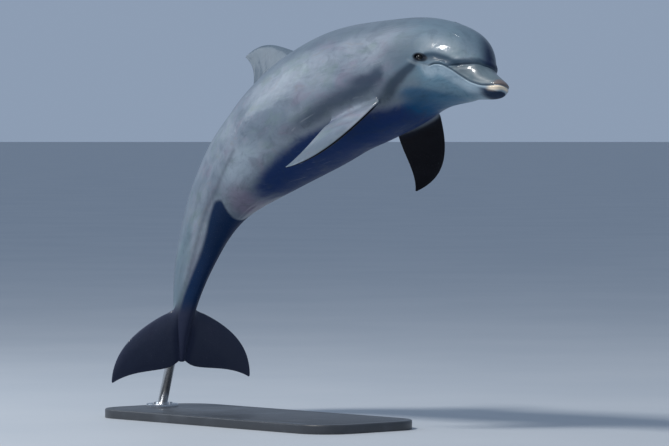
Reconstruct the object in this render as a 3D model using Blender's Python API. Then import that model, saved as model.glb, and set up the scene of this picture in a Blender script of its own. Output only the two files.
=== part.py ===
"""A bottlenose dolphin, life size and leaping, held over the floor by a plain display stand.

The animal is laid out straight first.  A place on it is (station, left, up): the station runs
from 0 at the tip of the beak to 100 at the notch of the flukes, and left and up are measured
from the spine.  All three are percent of the body length.  The spine is then bent into the
leap, and every ring of the body and every fin goes with it.

World axes: +Z is up, and the origin is the middle of the stand's underside.
"""
import math

import bmesh
import bpy
import numpy as np
from mathutils import Matrix

# ---------------------------------------------------------------- driving dimensions (metres)
BODY_LENGTH = 2.45                   # tip of the beak to the notch of the flukes
PERCENT = BODY_LENGTH / 100.0        # one percent of the body length
GAP = 0.0003                         # clearance between pieces that touch

SLOTS = 32                           # points round the body; slot 0 is the back, 16 the belly
HALF = SLOTS // 2
MOUTH_SLOT = 10                      # the slot that follows the line of the mouth
MOUTH_CORNER = 11.4                  # station of the corner of the mouth
BEAK_BASE = 4.5                      # station of the crease between the beak and the melon
NECK_START, CHEST_START = 18.0, 21.6
TRUNK_START, LOIN_START = 38.0, 59.5
STOCK_START, STOCK_REAR, STOCK_END = 72.0, 84.0, 100.0

EYE_STATION, EYE_UP = 13.6, -0.5     # middle of the eye (percent)
EYE_RADIUS = 0.0165                  # the eyeball
EYE_STANDS_OUT = 0.003               # how far its front stands out of the head

CHEST_STATION = 26.0                 # the station that the leap is placed by
CHEST_PLACE = (0.507, -0.588, 1.312)
CHEST_YAW, CHEST_RISE, CHEST_ROLL = 44.9, 11.2, 5.7      # degrees: turned, nose up, rolled over

BASE_LENGTH, BASE_WIDTH, BASE_HEIGHT = 1.36, 0.52, 0.035
BASE_CORNER, BASE_BEVEL = 0.14, 0.006
BASE_TURN = -48.3                    # degrees: the base lies under the line of the body
ROD_RADIUS = 0.019
ROD_FOOT = (-0.372, 0.450)           # where the rod leaves the base
ROD_HEAD = (-0.262, 0.285, 0.56)     # its upper end, inside the tail stock
FLANGE_RADIUS, FLANGE_HEIGHT = 0.062, 0.010

# station, back, belly, half width, height of the widest point (percent)
PROFILE = (
    (0.0, -1.40, -2.42, 0.45, -1.9),         # tip of the beak
    (0.3, -1.20, -3.06, 1.06, -2.0),
    (0.9, -0.95, -3.48, 1.48, -2.15),
    (1.8, -0.60, -3.75, 1.80, -2.2),
    (2.9, -0.18, -3.93, 2.13, -2.15),
    (4.0, 0.32, -4.05, 2.40, -2.0),          # crease between beak and melon
    (4.6, 0.82, -4.12, 2.50, -1.8),
    (5.0, 1.45, -4.17, 2.54, -1.5),
    (5.5, 2.35, -4.24, 2.64, -1.2),
    (6.2, 3.34, -4.34, 2.90, -0.8),          # front of the melon
    (7.2, 4.30, -4.58, 3.60, -0.5),
    (8.5, 5.12, -4.88, 4.42, -0.3),
    (10.2, 5.80, -5.18, 5.20, -0.2),
    (12.2, 6.20, -5.58, 5.85, -0.1),
    (14.5, 6.56, -6.14, 6.40, -0.1),         # eyes and blowhole
    (17.5, 7.03, -6.95, 6.95, -0.2),
    (21.0, 7.52, -7.84, 7.50, -0.3),
    (26.0, 8.25, -8.90, 8.15, -0.3),         # flippers
    (32.0, 8.95, -9.45, 8.60, -0.3),
    (40.0, 9.45, -9.70, 8.80, -0.2),         # fullest part of the chest
    (48.0, 9.40, -9.45, 8.45, 0.0),
    (56.0, 8.80, -8.75, 7.50, 0.0),
    (64.0, 7.75, -7.60, 6.00, 0.0),
    (72.0, 6.30, -6.10, 4.40, 0.0),          # tail stock, tall and narrow
    (80.0, 4.85, -4.60, 3.05, 0.0),
    (87.0, 3.55, -3.30, 2.15, 0.0),
    (92.0, 2.50, -2.30, 1.62, 0.0),
    (96.0, 1.30, -1.20, 1.15, 0.0),
    (100.0, 0.30, -0.30, 0.40, 0.0),         # notch of the flukes
)
# station, roundness of the section: 2 is an ellipse, less than 2 has a keel above and below
ROUNDNESS = ((0.0, 2.3), (5.0, 2.05), (60.0, 2.0), (75.0, 1.75), (90.0, 1.6), (100.0, 1.8))
# station, height of the line of the mouth (percent)
MOUTH_LINE = ((0.0, -1.78), (1.3, -2.20), (3.0, -2.48), (4.8, -2.32), (6.5, -1.84),
              (8.0, -1.27), (9.6, -0.90), (10.6, -1.08), (11.4, -1.50))
# the bends of the leap: from station, to station, down towards the belly, aside, twist (degrees)
BENDS = (
    (11.4, 23.6, 18.4, 4.0, 12.1),
    (24.0, 46.0, 9.4, -9.9, -3.3),
    (42.0, 64.0, 8.1, 1.3, -5.1),
    (60.0, 82.0, 39.3, 1.7, 9.5),
    (80.0, 97.0, 15.1, -10.1, -11.0),
)

# Fins: the leading and the trailing edge are cubic curves, each given by four points.
# dorsal fin: (station, up)
DORSAL_LEADING = ((41.5, 8.2), (48.5, 10.2), (52.5, 17.6), (60.6, 16.3))
DORSAL_TRAILING = ((62.5, 6.6), (59.2, 10.4), (57.4, 13.0), (60.6, 16.3))
DORSAL_ANCHOR = 50.0
DORSAL_THICKNESS = 0.13
# flukes: (station, aside)
FLUKE_LEADING = ((90.6, 0.4), (92.6, 5.0), (95.6, 12.3), (102.6, 12.1))
FLUKE_TRAILING = ((99.7, 0.4), (101.5, 3.0), (100.1, 8.0), (102.6, 12.1))
FLUKE_ANCHOR = 97.0
FLUKE_THICKNESS = 0.13
# flippers: (back along the chord, out along the flipper)
FLIPPER_LEADING = ((-0.6, -2.2), (-1.0, 5.9), (-1.1, 13.2), (6.2, 17.7))
FLIPPER_TRAILING = ((6.4, -2.2), (7.0, 4.6), (6.2, 10.4), (6.2, 17.7))
FLIPPER_ANCHOR = 25.5
FLIPPER_THICKNESS = 0.15
# side (left is 1), front of the root (station, aside, up), way it points (back, out, up),
# and how far its leading edge is turned down about that way (degrees)
FLIPPERS = (
    ("flipper_left", 1, (23.0, 5.6, -5.0), (0.45, 0.64, -0.63), 5.0),
    ("flipper_right", -1, (22.4, 5.9, -4.6), (0.63, 0.44, -0.64), 3.0),
)

FIN_SPANS = (0.0, 0.08, 0.17, 0.28, 0.40, 0.52, 0.64, 0.75, 0.85, 0.93, 0.98)
FIN_CHORD_POINTS = 8                 # points along each face of a fin
FIN_MIN_EDGE = 0.0012                # half thickness of a fin's trailing edge (metres)

SPINE_STEP = 0.5                     # percent between the points that the spine is worked out at
SPINE_ENDS = (-4.0, 112.0)

SKIN_GREY = (0.125, 0.150, 0.175, 1.0)
JAW_GREY = (0.270, 0.310, 0.340, 1.0)
FIN_GREY = (0.060, 0.070, 0.082, 1.0)
EYE_BROWN = (0.012, 0.009, 0.008, 1.0)
BASE_PAINT = (0.040, 0.043, 0.048, 1.0)
STEEL = (0.560, 0.570, 0.580, 1.0)


# ---------------------------------------------------------------- curves and the straight body
def smooth_curve(points, places):
    """A smooth curve through the points, which never swings past them."""
    x, y = np.array(points, float).T
    step, slope = np.diff(x), np.diff(y) / np.diff(x)
    tangent = np.concatenate([slope[:1], np.zeros(len(x) - 2), slope[-1:]])
    for i in range(1, len(x) - 1):
        if slope[i - 1] * slope[i] > 0:
            w1 = 2 * step[i] + step[i - 1]
            w2 = step[i] + 2 * step[i - 1]
            tangent[i] = (w1 + w2) / (w1 / slope[i - 1] + w2 / slope[i])
    places = np.clip(places, x[0], x[-1])
    i = np.clip(np.searchsorted(x, places, side="right") - 1, 0, len(x) - 2)
    t = (places - x[i]) / step[i]
    rise = (1 + 2 * t) * (1 - t) ** 2 * y[i] + t * t * (3 - 2 * t) * y[i + 1]
    return rise + step[i] * (t * (1 - t) ** 2 * tangent[i] - t * t * (1 - t) * tangent[i + 1])


def profile(column, station):
    return float(smooth_curve([(row[0], row[column]) for row in PROFILE], station))


def smooth_step(value, start, end):
    t = np.clip((value - start) / (end - start), 0.0, 1.0)
    return t * t * (3 - 2 * t)


def section_point(station, angle, grow=0.0):
    """(left, up) of the skin; the angle runs from the back (0) by the left side to the belly."""
    back, belly, half_width, level = (profile(column, station) for column in (1, 2, 3, 4))
    power = 2.0 / float(smooth_curve(ROUNDNESS, station))
    side, top = math.sin(angle), math.cos(angle)
    height = back - level if top > 0 else level - belly
    return ((half_width + grow) * math.copysign(abs(side) ** power, side),
            level + (height + grow) * math.copysign(abs(top) ** power, top))


def mouth_angle(station):
    """The angle, from the back, at which the line of the mouth lies."""
    up = float(smooth_curve(MOUTH_LINE, station))
    back, belly, level = (profile(column, station) for column in (1, 2, 4))
    roundness = float(smooth_curve(ROUNDNESS, station))
    height = back - level if up > level else level - belly
    return math.acos(math.copysign((abs(up - level) / height) ** (roundness / 2), up - level))


def slot_angle(station, slot):
    """The angle of a slot: evenly spaced, but drawn to the mouth on the head."""
    even = math.pi * abs(slot) / HALF
    at_mouth = mouth_angle(min(station, MOUTH_CORNER))
    if abs(slot) <= MOUTH_SLOT:
        drawn = at_mouth * abs(slot) / MOUTH_SLOT
    else:
        drawn = at_mouth + (math.pi - at_mouth) * (abs(slot) - MOUTH_SLOT) / (HALF - MOUTH_SLOT)
    free = float(smooth_step(station, MOUTH_CORNER, CHEST_START))
    return math.copysign(drawn * (1 - free) + even * free, slot)


# ---------------------------------------------------------------- the bent spine
def turn(axis, angle):
    """Rotation matrix about a unit axis."""
    x, y, z = axis
    cross = np.array([[0, -z, y], [z, 0, -x], [-y, x, 0]])
    return np.eye(3) + math.sin(angle) * cross + (1 - math.cos(angle)) * cross @ cross


def bend_spine():
    """Stations, places and frames of the spine.  A frame's columns: to the beak, left, up."""
    count = int((SPINE_ENDS[1] - SPINE_ENDS[0]) / SPINE_STEP) + 1
    stations = np.linspace(*SPINE_ENDS, count)
    bent = np.zeros((count, 3))
    for start, end, down, aside, twist in BENDS:
        share = smooth_step(stations, start, end)
        bent += share[:, None] * np.radians([twist, -down, aside])
    chest = int(round((CHEST_STATION - SPINE_ENDS[0]) / SPINE_STEP))
    yaw, rise, roll = np.radians((-CHEST_YAW, -CHEST_RISE, -CHEST_ROLL))
    frames, places = [None] * count, [None] * count
    frames[chest] = turn((0, 0, 1), yaw) @ turn((0, 1, 0), rise) @ turn((1, 0, 0), roll)
    places[chest] = np.array(CHEST_PLACE)
    for way in (1, -1):
        here = chest
        while 0 <= here + way < count:
            change = bent[here + way] - bent[here]
            angle = float(np.linalg.norm(change))
            rotation = turn(change / angle, angle) if angle > 0 else np.eye(3)
            frames[here + way] = frames[here] @ rotation
            along = (frames[here][:, 0] + frames[here + way][:, 0]) / 2
            places[here + way] = places[here] - along * way * SPINE_STEP * PERCENT
            here += way
    return stations, np.array(places), np.array(frames)


SPINE = bend_spine()


def spine_at(station):
    """Place and frame of the spine at a station."""
    stations, places, frames = SPINE
    place = np.array([np.interp(station, stations, places[:, k]) for k in range(3)])
    frame = np.array([[np.interp(station, stations, frames[:, r, c]) for c in range(3)]
                      for r in range(3)])
    ahead = frame[:, 0] / np.linalg.norm(frame[:, 0])
    left = frame[:, 1] - ahead * frame[:, 1].dot(ahead)
    left /= np.linalg.norm(left)
    return place, np.column_stack([ahead, left, np.cross(ahead, left)])


def place_on_body(station, left, up, anchor=None):
    """World place of a point of the straight body, carried by the spine at the anchor."""
    anchor = station if anchor is None else anchor
    place, frame = spine_at(anchor)
    return place + frame @ np.array([anchor - station, left, up]) * PERCENT


# ---------------------------------------------------------------- making solids
def new_object(name, mesh, material, smooth_angle=40.0):
    if material is not None:
        mesh.materials.append(material)
    mesh.shade_smooth()
    mesh.set_sharp_from_angle(angle=math.radians(smooth_angle))
    piece = bpy.data.objects.new(name, mesh)
    bpy.context.scene.collection.objects.link(piece)
    return piece


def finish(bm, name, material, smooth_angle=40.0):
    """Close the mesh work: faces out, n-gons in triangles, and one named object."""
    bmesh.ops.recalc_face_normals(bm, faces=bm.faces[:])
    bmesh.ops.triangulate(bm, faces=[face for face in bm.faces if len(face.verts) > 4])
    mesh = bpy.data.meshes.new(name)
    bm.to_mesh(mesh)
    bm.free()
    return new_object(name, mesh, material, smooth_angle)


def add_ring(bm, points):
    return [bm.verts.new(point) for point in points]


def bridge(bm, ring_a, ring_b):
    count = len(ring_a)
    for i in range(count):
        j = (i + 1) % count
        bm.faces.new((ring_a[i], ring_a[j], ring_b[j], ring_b[i]))


def loft(bm, rings):
    """A tube through the rings, with both ends closed; each ring is a list of places."""
    tube = [add_ring(bm, ring) for ring in rings]
    for ring_a, ring_b in zip(tube, tube[1:]):
        bridge(bm, ring_a, ring_b)
    bm.faces.new(tube[0])
    bm.faces.new(tube[-1])
    return tube


def material(name, colour, roughness, metallic=0.0):
    """A plain finish of one colour."""
    made = bpy.data.materials.new(name)
    made.use_nodes = True
    shader = made.node_tree.nodes["Principled BSDF"]
    shader.inputs["Base Color"].default_value = colour
    shader.inputs["Roughness"].default_value = roughness
    shader.inputs["Metallic"].default_value = metallic
    made.diffuse_color = colour
    return made


def as_cutter(piece):
    piece.hide_render = True
    piece.display_type = "WIRE"
    return piece


def cut_away(piece, cutter):
    """Take the cutter's space out of the piece."""
    cut = piece.modifiers.new("cut_" + cutter.name, "BOOLEAN")
    cut.operation = "DIFFERENCE"
    cut.solver = "EXACT"
    cut.object = cutter


# ---------------------------------------------------------------- the body, parted in lengths
def body_ring(station, slots, lift=0.0, grow=0.0):
    """World places of the named slots at a station; lift moves the two mouth points up."""
    ring = []
    for slot in slots:
        left, up = section_point(station, slot_angle(station, slot), grow)
        at_mouth = abs(slot) == MOUTH_SLOT
        ring.append(place_on_body(station, left, up + (lift if at_mouth else 0.0)))
    return ring


ALL_SLOTS = tuple(range(-HALF + 1, HALF + 1))
UPPER_SLOTS = tuple(range(-MOUTH_SLOT, MOUTH_SLOT + 1))
LOWER_SLOTS = tuple(range(MOUTH_SLOT, HALF + 1)) + tuple(range(-HALF + 1, -MOUTH_SLOT + 1))
HALF_GAP = GAP / 2 / PERCENT

RING_STATIONS = (0.0, 0.25, 0.7, 1.4, 2.3, 3.2, 3.9, 4.3, 4.7, 5.1, 5.6, 6.3, 7.2, 8.3, 9.5, 10.6,
                 12.2, 13.6, 15.0, 16.5, 19.8) + tuple(np.arange(24.0, 97.0, 2.5)) + (98.0, 99.2)


def stations_between(start, end):
    """The two ends, kept half a gap clear of the neighbours, and the rings between them."""
    first, last = start + HALF_GAP, end - HALF_GAP
    least = 0.15
    inner = [s for s in RING_STATIONS if first + least < s < last - least]
    return [first] + inner + [last]


LENGTHS = (
    ("neck", NECK_START, CHEST_START),
    ("chest", CHEST_START, TRUNK_START),
    ("trunk", TRUNK_START, LOIN_START),
    ("loin", LOIN_START, STOCK_START),
    ("tail_stock_front", STOCK_START, STOCK_REAR),
    ("tail_stock_rear", STOCK_REAR, STOCK_END),
)


def body_length(name, start, end, finish_of):
    """A full length of the body between two stations."""
    bm = bmesh.new()
    loft(bm, [body_ring(s, ALL_SLOTS) for s in stations_between(start, end)])
    return finish(bm, name, finish_of)


def lower_jaw(finish_of):
    bm = bmesh.new()
    rings = stations_between(0.0, MOUTH_CORNER)
    loft(bm, [body_ring(s, LOWER_SLOTS, lift=-HALF_GAP) for s in rings])
    return finish(bm, "lower_jaw", finish_of)


def upper_beak(finish_of):
    bm = bmesh.new()
    rings = stations_between(0.25, BEAK_BASE)
    loft(bm, [body_ring(s, UPPER_SLOTS, lift=HALF_GAP) for s in rings])
    return finish(bm, "beak_upper", finish_of)


def head(finish_of):
    """The melon over the mouth, and the whole head behind its corner, in one piece."""
    bm = bmesh.new()
    over_mouth = stations_between(BEAK_BASE, MOUTH_CORNER)[:-1]
    tube = [add_ring(bm, body_ring(s, UPPER_SLOTS, lift=HALF_GAP)) for s in over_mouth]
    bm.faces.new(tube[0])
    behind = stations_between(MOUTH_CORNER, NECK_START)
    full = [add_ring(bm, body_ring(behind[0], ALL_SLOTS, lift=HALF_GAP))]
    full += [add_ring(bm, body_ring(s, ALL_SLOTS)) for s in behind[1:]]
    at_corner = dict(zip(ALL_SLOTS, full[0]))
    tube.append([at_corner[slot] for slot in UPPER_SLOTS])
    for ring_a, ring_b in list(zip(tube, tube[1:])) + list(zip(full, full[1:])):
        bridge(bm, ring_a, ring_b)
    bm.faces.new([at_corner[slot] for slot in LOWER_SLOTS])
    bm.faces.new(full[-1])
    return finish(bm, "head", finish_of)


def body_cutter():
    """The whole body, grown by the gap, that the fins and the rod are cut to."""
    bm = bmesh.new()
    rings = [s for _, start, end in LENGTHS for s in stations_between(start, end)]
    loft(bm, [body_ring(s, ALL_SLOTS, grow=GAP / PERCENT) for s in rings])
    return as_cutter(finish(bm, "cutter_body", None))


# ---------------------------------------------------------------- eyes
def eye_centre(side):
    left, _ = section_point(EYE_STATION, math.pi / 2)
    inward = (EYE_RADIUS - EYE_STANDS_OUT) / PERCENT
    return place_on_body(EYE_STATION, side * (left - inward), EYE_UP)


def eye_ball(name, side, radius, finish_of):
    _, frame = spine_at(EYE_STATION)
    bm = bmesh.new()
    bmesh.ops.create_uvsphere(bm, u_segments=20, v_segments=12, radius=radius)
    bmesh.ops.rotate(bm, verts=bm.verts[:], cent=(0, 0, 0), matrix=Matrix(frame.tolist()))
    bmesh.ops.translate(bm, verts=bm.verts[:], vec=eye_centre(side))
    return finish(bm, name, finish_of)


# ---------------------------------------------------------------- fins
def bezier(points, t):
    p0, p1, p2, p3 = (np.array(point, float) for point in points)
    s = 1 - t
    return s ** 3 * p0 + 3 * s * s * t * p1 + 3 * s * t * t * p2 + t ** 3 * p3


def wing_thickness(chord):
    """Half thickness of a streamlined section, 1 at its thickest, along the chord from 0 to 1."""
    return 2.969 * math.sqrt(chord) - 1.26 * chord - 3.516 * chord ** 2 \
        + 2.843 * chord ** 3 - 1.015 * chord ** 4


def fin_rings(leading, trailing, thickness, to_world):
    """Closed sections of a fin; to_world places (along, across) of its plane and a thickness."""
    ways = [math.pi * k / FIN_CHORD_POINTS for k in range(FIN_CHORD_POINTS + 1)]
    chord_places = [(1 - math.cos(way)) / 2 for way in ways]
    rings = []
    for span in FIN_SPANS:
        front, rear = bezier(leading, span), bezier(trailing, span)
        chord_length = float(np.linalg.norm(rear - front))
        flare = 1 + 0.8 * math.exp(-span / 0.08)
        thick = thickness * chord_length / 2 * flare
        upper, lower = [], []
        for chord in chord_places:
            along, across = front + (rear - front) * chord
            if chord == 0.0:
                upper.append(to_world(along, across, 0.0))
                continue
            half = max(thick * wing_thickness(chord), FIN_MIN_EDGE / PERCENT)
            upper.append(to_world(along, across, half))
            lower.append(to_world(along, across, -half))
        rings.append(upper + lower[::-1])
    return rings


def fin(name, rings, cutter, finish_of):
    bm = bmesh.new()
    loft(bm, rings)
    piece = finish(bm, name, finish_of)
    cut_away(piece, cutter)
    return piece


def dorsal_fin(cutter, finish_of):
    def to_world(station, up, half):
        return place_on_body(station, half, up, DORSAL_ANCHOR)
    rings = fin_rings(DORSAL_LEADING, DORSAL_TRAILING, DORSAL_THICKNESS, to_world)
    return fin("dorsal_fin", rings, cutter, finish_of)


def fluke(name, side, cutter, finish_of):
    def to_world(station, aside, half):
        return place_on_body(station, side * aside, half, FLUKE_ANCHOR)
    rings = fin_rings(FLUKE_LEADING, FLUKE_TRAILING, FLUKE_THICKNESS, to_world)
    return fin(name, rings, cutter, finish_of)


def flipper(name, side, root, points, feather, cutter, finish_of):
    """Built along its own reach, across its chord, and through its thickness."""
    mirrored = np.array([1.0, side, 1.0])
    root, reach = np.array(root) * mirrored, np.array(points) * mirrored
    reach /= np.linalg.norm(reach)
    chord = np.array([1.0, 0.0, 0.0]) - reach * reach[0]
    chord = turn(reach, side * math.radians(feather)) @ (chord / np.linalg.norm(chord))
    through = np.cross(reach, chord)

    def to_world(back, out, half):
        station, left, up = root + chord * back + reach * out + through * half
        return place_on_body(station, left, up, FLIPPER_ANCHOR)
    rings = fin_rings(FLIPPER_LEADING, FLIPPER_TRAILING, FLIPPER_THICKNESS, to_world)
    return fin(name, rings, cutter, finish_of)


# ---------------------------------------------------------------- the display stand
def stand_base(finish_of):
    """A flat board with round corners and a softened rim."""
    bm = bmesh.new()
    bmesh.ops.create_cube(bm, size=1.0)
    bmesh.ops.scale(bm, verts=bm.verts[:], vec=(BASE_LENGTH, BASE_WIDTH, BASE_HEIGHT))
    upright = [e for e in bm.edges if abs(e.verts[0].co.z - e.verts[1].co.z) > BASE_HEIGHT / 2]
    bmesh.ops.bevel(bm, geom=upright, offset=BASE_CORNER, segments=10, affect="EDGES",
                    profile=0.5)
    rim = [e for e in bm.edges if min(v.co.z for v in e.verts) > 0 and len(e.link_faces) == 2
           and any(abs(f.normal.z) < 0.5 for f in e.link_faces)
           and any(f.normal.z > 0.5 for f in e.link_faces)]
    bmesh.ops.bevel(bm, geom=rim, offset=BASE_BEVEL, segments=3, affect="EDGES", profile=0.5)
    bmesh.ops.rotate(bm, verts=bm.verts[:], cent=(0, 0, 0),
                     matrix=Matrix.Rotation(math.radians(BASE_TURN), 3, "Z"))
    bmesh.ops.translate(bm, verts=bm.verts[:], vec=(0, 0, BASE_HEIGHT / 2))
    return finish(bm, "stand_base", finish_of, 30.0)


def stand_flange(finish_of):
    """The round steel plate that fastens the rod to the base."""
    bm = bmesh.new()
    bmesh.ops.create_cone(bm, cap_ends=True, segments=40, radius1=FLANGE_RADIUS,
                          radius2=FLANGE_RADIUS, depth=FLANGE_HEIGHT)
    rim = [e for e in bm.edges if min(v.co.z for v in e.verts) > 0]
    bmesh.ops.bevel(bm, geom=rim, offset=FLANGE_HEIGHT / 4, segments=2, affect="EDGES",
                    profile=0.5)
    height = BASE_HEIGHT + GAP + FLANGE_HEIGHT / 2
    bmesh.ops.translate(bm, verts=bm.verts[:], vec=(*ROD_FOOT, height))
    return finish(bm, "stand_flange", finish_of, 30.0)


def stand_rod(cutter, finish_of):
    """The rod: level at its foot, leaning to the tail stock, and cut to it at the top."""
    foot = np.array([*ROD_FOOT, BASE_HEIGHT + FLANGE_HEIGHT + 2 * GAP])
    lean = np.array(ROD_HEAD) - foot
    lean /= np.linalg.norm(lean)
    sides = 24
    rings = [[], []]
    for k in range(sides):
        way = 2 * math.pi * k / sides
        around = foot + ROD_RADIUS * np.array([math.cos(way), math.sin(way), 0.0])
        rings[0].append(around)
        rings[1].append(around + lean * (ROD_HEAD[2] - foot[2]) / lean[2])
    bm = bmesh.new()
    loft(bm, rings)
    piece = finish(bm, "stand_rod", finish_of)
    cut_away(piece, cutter)
    return piece


# ---------------------------------------------------------------- the whole model
def clear_scene():
    for old in list(bpy.data.objects):
        bpy.data.objects.remove(old, do_unlink=True)


def main():
    clear_scene()
    for name, start, end in LENGTHS:
        body_length(name, start, end, material(name, SKIN_GREY, 0.3))
    upper_beak(material("beak_upper", SKIN_GREY, 0.3))
    lower_jaw(material("lower_jaw", JAW_GREY, 0.3))
    skull = head(material("head", SKIN_GREY, 0.3))
    cutter = body_cutter()
    dorsal_fin(cutter, material("dorsal_fin", SKIN_GREY, 0.3))
    for name, side, root, points, feather in FLIPPERS:
        flipper(name, side, root, points, feather, cutter, material(name, FIN_GREY, 0.3))
    for word, side in (("left", 1), ("right", -1)):
        fluke("fluke_" + word, side, cutter, material("fluke_" + word, FIN_GREY, 0.3))
        eye_ball("eye_" + word, side, EYE_RADIUS, material("eye_" + word, EYE_BROWN, 0.05))
        cut_away(skull, as_cutter(eye_ball("cutter_eye_" + word, side, EYE_RADIUS + GAP, None)))
    stand_base(material("stand_base", BASE_PAINT, 0.45))
    stand_flange(material("stand_flange", STEEL, 0.3, 1.0))
    stand_rod(cutter, material("stand_rod", STEEL, 0.3, 1.0))


main()
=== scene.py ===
"""The looks of a life-size bottlenose dolphin, leaping over a plain display stand.

One skin covers the whole animal.  It is modelled straight, in percent of the body length, with a
place given as (station, left, up): the station runs from 0 at the tip of the beak to 100 at the
notch of the flukes.  Its details are sculpted there, and it is then bent into the leap by the
same spine as the solids.  The eyes and the pieces of the stand are made around it.
"""

import math

import bmesh
import bpy
import numpy as np
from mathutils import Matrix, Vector


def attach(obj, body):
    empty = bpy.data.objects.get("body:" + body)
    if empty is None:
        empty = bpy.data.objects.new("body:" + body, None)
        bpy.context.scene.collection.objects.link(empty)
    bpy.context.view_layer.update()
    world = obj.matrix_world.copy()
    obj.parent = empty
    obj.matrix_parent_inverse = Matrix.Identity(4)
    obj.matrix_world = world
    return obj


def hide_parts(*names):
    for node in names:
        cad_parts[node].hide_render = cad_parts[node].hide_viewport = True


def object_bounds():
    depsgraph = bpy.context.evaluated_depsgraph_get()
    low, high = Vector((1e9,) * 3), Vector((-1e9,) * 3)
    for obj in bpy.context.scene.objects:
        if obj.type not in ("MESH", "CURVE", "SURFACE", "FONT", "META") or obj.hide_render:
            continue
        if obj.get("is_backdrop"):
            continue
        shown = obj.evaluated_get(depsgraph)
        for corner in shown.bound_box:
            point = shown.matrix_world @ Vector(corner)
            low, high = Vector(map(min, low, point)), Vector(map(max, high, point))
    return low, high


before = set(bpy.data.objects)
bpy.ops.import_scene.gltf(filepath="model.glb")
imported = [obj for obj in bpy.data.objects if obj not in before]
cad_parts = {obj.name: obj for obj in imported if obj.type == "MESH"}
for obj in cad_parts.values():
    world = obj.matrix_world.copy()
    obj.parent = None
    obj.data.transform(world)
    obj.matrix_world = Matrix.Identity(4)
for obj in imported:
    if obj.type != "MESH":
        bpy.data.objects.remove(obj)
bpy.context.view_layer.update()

# ---------------------------------------------------------------- the body, as in the solids
BODY_LENGTH = 2.45                   # metres, tip of the beak to the notch of the flukes
PERCENT = BODY_LENGTH / 100.0        # one percent of the body length
MOUTH_CORNER = 11.4
CHEST_START = 21.6
EYE_STATION, EYE_UP = 13.6, -0.5
EYE_RADIUS = 0.0165 / PERCENT        # percent
EYE_STANDS_OUT = 0.003 / PERCENT

CHEST_STATION = 26.0
CHEST_PLACE = (0.507, -0.588, 1.312)
CHEST_YAW, CHEST_RISE, CHEST_ROLL = 44.9, 11.2, 5.7      # degrees
SPINE_STEP = 0.1
SPINE_ENDS = (-4.0, 112.0)
TINY = 1e-6                          # keeps a division off nothing
NEAR = 1e-4                          # places closer than this are the same

# station, back, belly, half width, height of the widest point
PROFILE = (
    (0.0, -1.58, -2.30, 0.22, -1.9), (0.1, -1.36, -2.72, 0.66, -1.95),
    (0.3, -1.20, -3.06, 1.06, -2.0),
    (0.9, -0.95, -3.48, 1.48, -2.15), (1.8, -0.60, -3.75, 1.80, -2.2),
    (2.9, -0.18, -3.93, 2.13, -2.15), (4.0, 0.32, -4.05, 2.40, -2.0),
    (4.6, 0.82, -4.12, 2.50, -1.8), (5.0, 1.45, -4.17, 2.54, -1.5),
    (5.5, 2.35, -4.24, 2.64, -1.2), (6.2, 3.34, -4.34, 2.90, -0.8),
    (7.2, 4.30, -4.58, 3.60, -0.5), (8.5, 5.12, -4.88, 4.42, -0.3),
    (10.2, 5.80, -5.18, 5.20, -0.2), (12.2, 6.20, -5.58, 5.85, -0.1),
    (14.5, 6.56, -6.14, 6.40, -0.1), (17.5, 7.03, -6.95, 6.95, -0.2),
    (21.0, 7.52, -7.84, 7.50, -0.3), (26.0, 8.25, -8.90, 8.15, -0.3),
    (32.0, 8.95, -9.45, 8.60, -0.3), (40.0, 9.45, -9.70, 8.80, -0.2),
    (48.0, 9.40, -9.45, 8.45, 0.0), (56.0, 8.80, -8.75, 7.50, 0.0),
    (64.0, 7.75, -7.60, 6.00, 0.0), (72.0, 6.30, -6.10, 4.40, 0.0),
    (80.0, 4.85, -4.60, 3.05, 0.0), (87.0, 3.55, -3.30, 2.15, 0.0),
    (92.0, 2.50, -2.30, 1.62, 0.0), (96.0, 1.30, -1.20, 1.15, 0.0),
    (100.0, 0.30, -0.30, 0.40, 0.0),
)
EASE = 1.5                           # a section is eased with those this far before and behind
# station, power of the section's curve: 2 is an ellipse, more is squarer
ROUNDNESS = ((0.0, 2.3), (5.0, 2.05), (60.0, 2.0), (75.0, 1.75), (90.0, 1.6), (100.0, 1.8))
# station, up
MOUTH_LINE = ((0.0, -1.78), (1.3, -2.20), (3.0, -2.48), (4.8, -2.32), (6.5, -1.84),
              (8.0, -1.27), (9.6, -0.90), (10.6, -1.08), (11.4, -1.50))
# from station, to station, down towards the belly, aside, twist (degrees)
BENDS = (
    (11.4, 23.6, 18.4, 4.0, 12.1),
    (24.0, 46.0, 9.4, -9.9, -3.3),
    (42.0, 64.0, 8.1, 1.3, -5.1),
    (60.0, 82.0, 39.3, 1.7, 9.5),
    (80.0, 97.0, 15.1, -10.1, -11.0),
)

# leading and trailing edges of the fins: cubic curves of (along the chord, out along the fin)
DORSAL_EDGES = (((41.5, 8.2), (48.5, 10.2), (52.5, 17.6), (60.6, 16.3)),
                ((62.5, 6.6), (59.2, 10.4), (57.4, 13.0), (60.6, 16.3)))
FLUKE_EDGES = (((90.6, 0.4), (92.6, 5.0), (95.6, 12.3), (102.6, 12.1)),
               ((99.7, 0.4), (101.5, 3.0), (100.1, 8.0), (102.6, 12.1)))
FLIPPER_EDGES = (((-0.6, -2.2), (-1.0, 5.9), (-1.1, 13.2), (6.4, 17.7)),
                 ((3.0, -2.2), (11.0, 5.0), (4.6, 11.0), (6.4, 17.7)))
DORSAL_ANCHOR, FLUKE_ANCHOR, FLIPPER_ANCHOR = 50.0, 97.0, 25.5
DORSAL_THICKNESS, FLUKE_THICKNESS, FLIPPER_THICKNESS = 0.13, 0.13, 0.15   # of the chord
FIN_MIN_EDGE = 0.0012 / PERCENT
FIN_FLARE, FLARE_REACH = 0.8, 0.08   # a fin thickens by this much where it meets the body
EDGE_ROUNDING = 8                    # the least thickness is reached this fast from an edge
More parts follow.
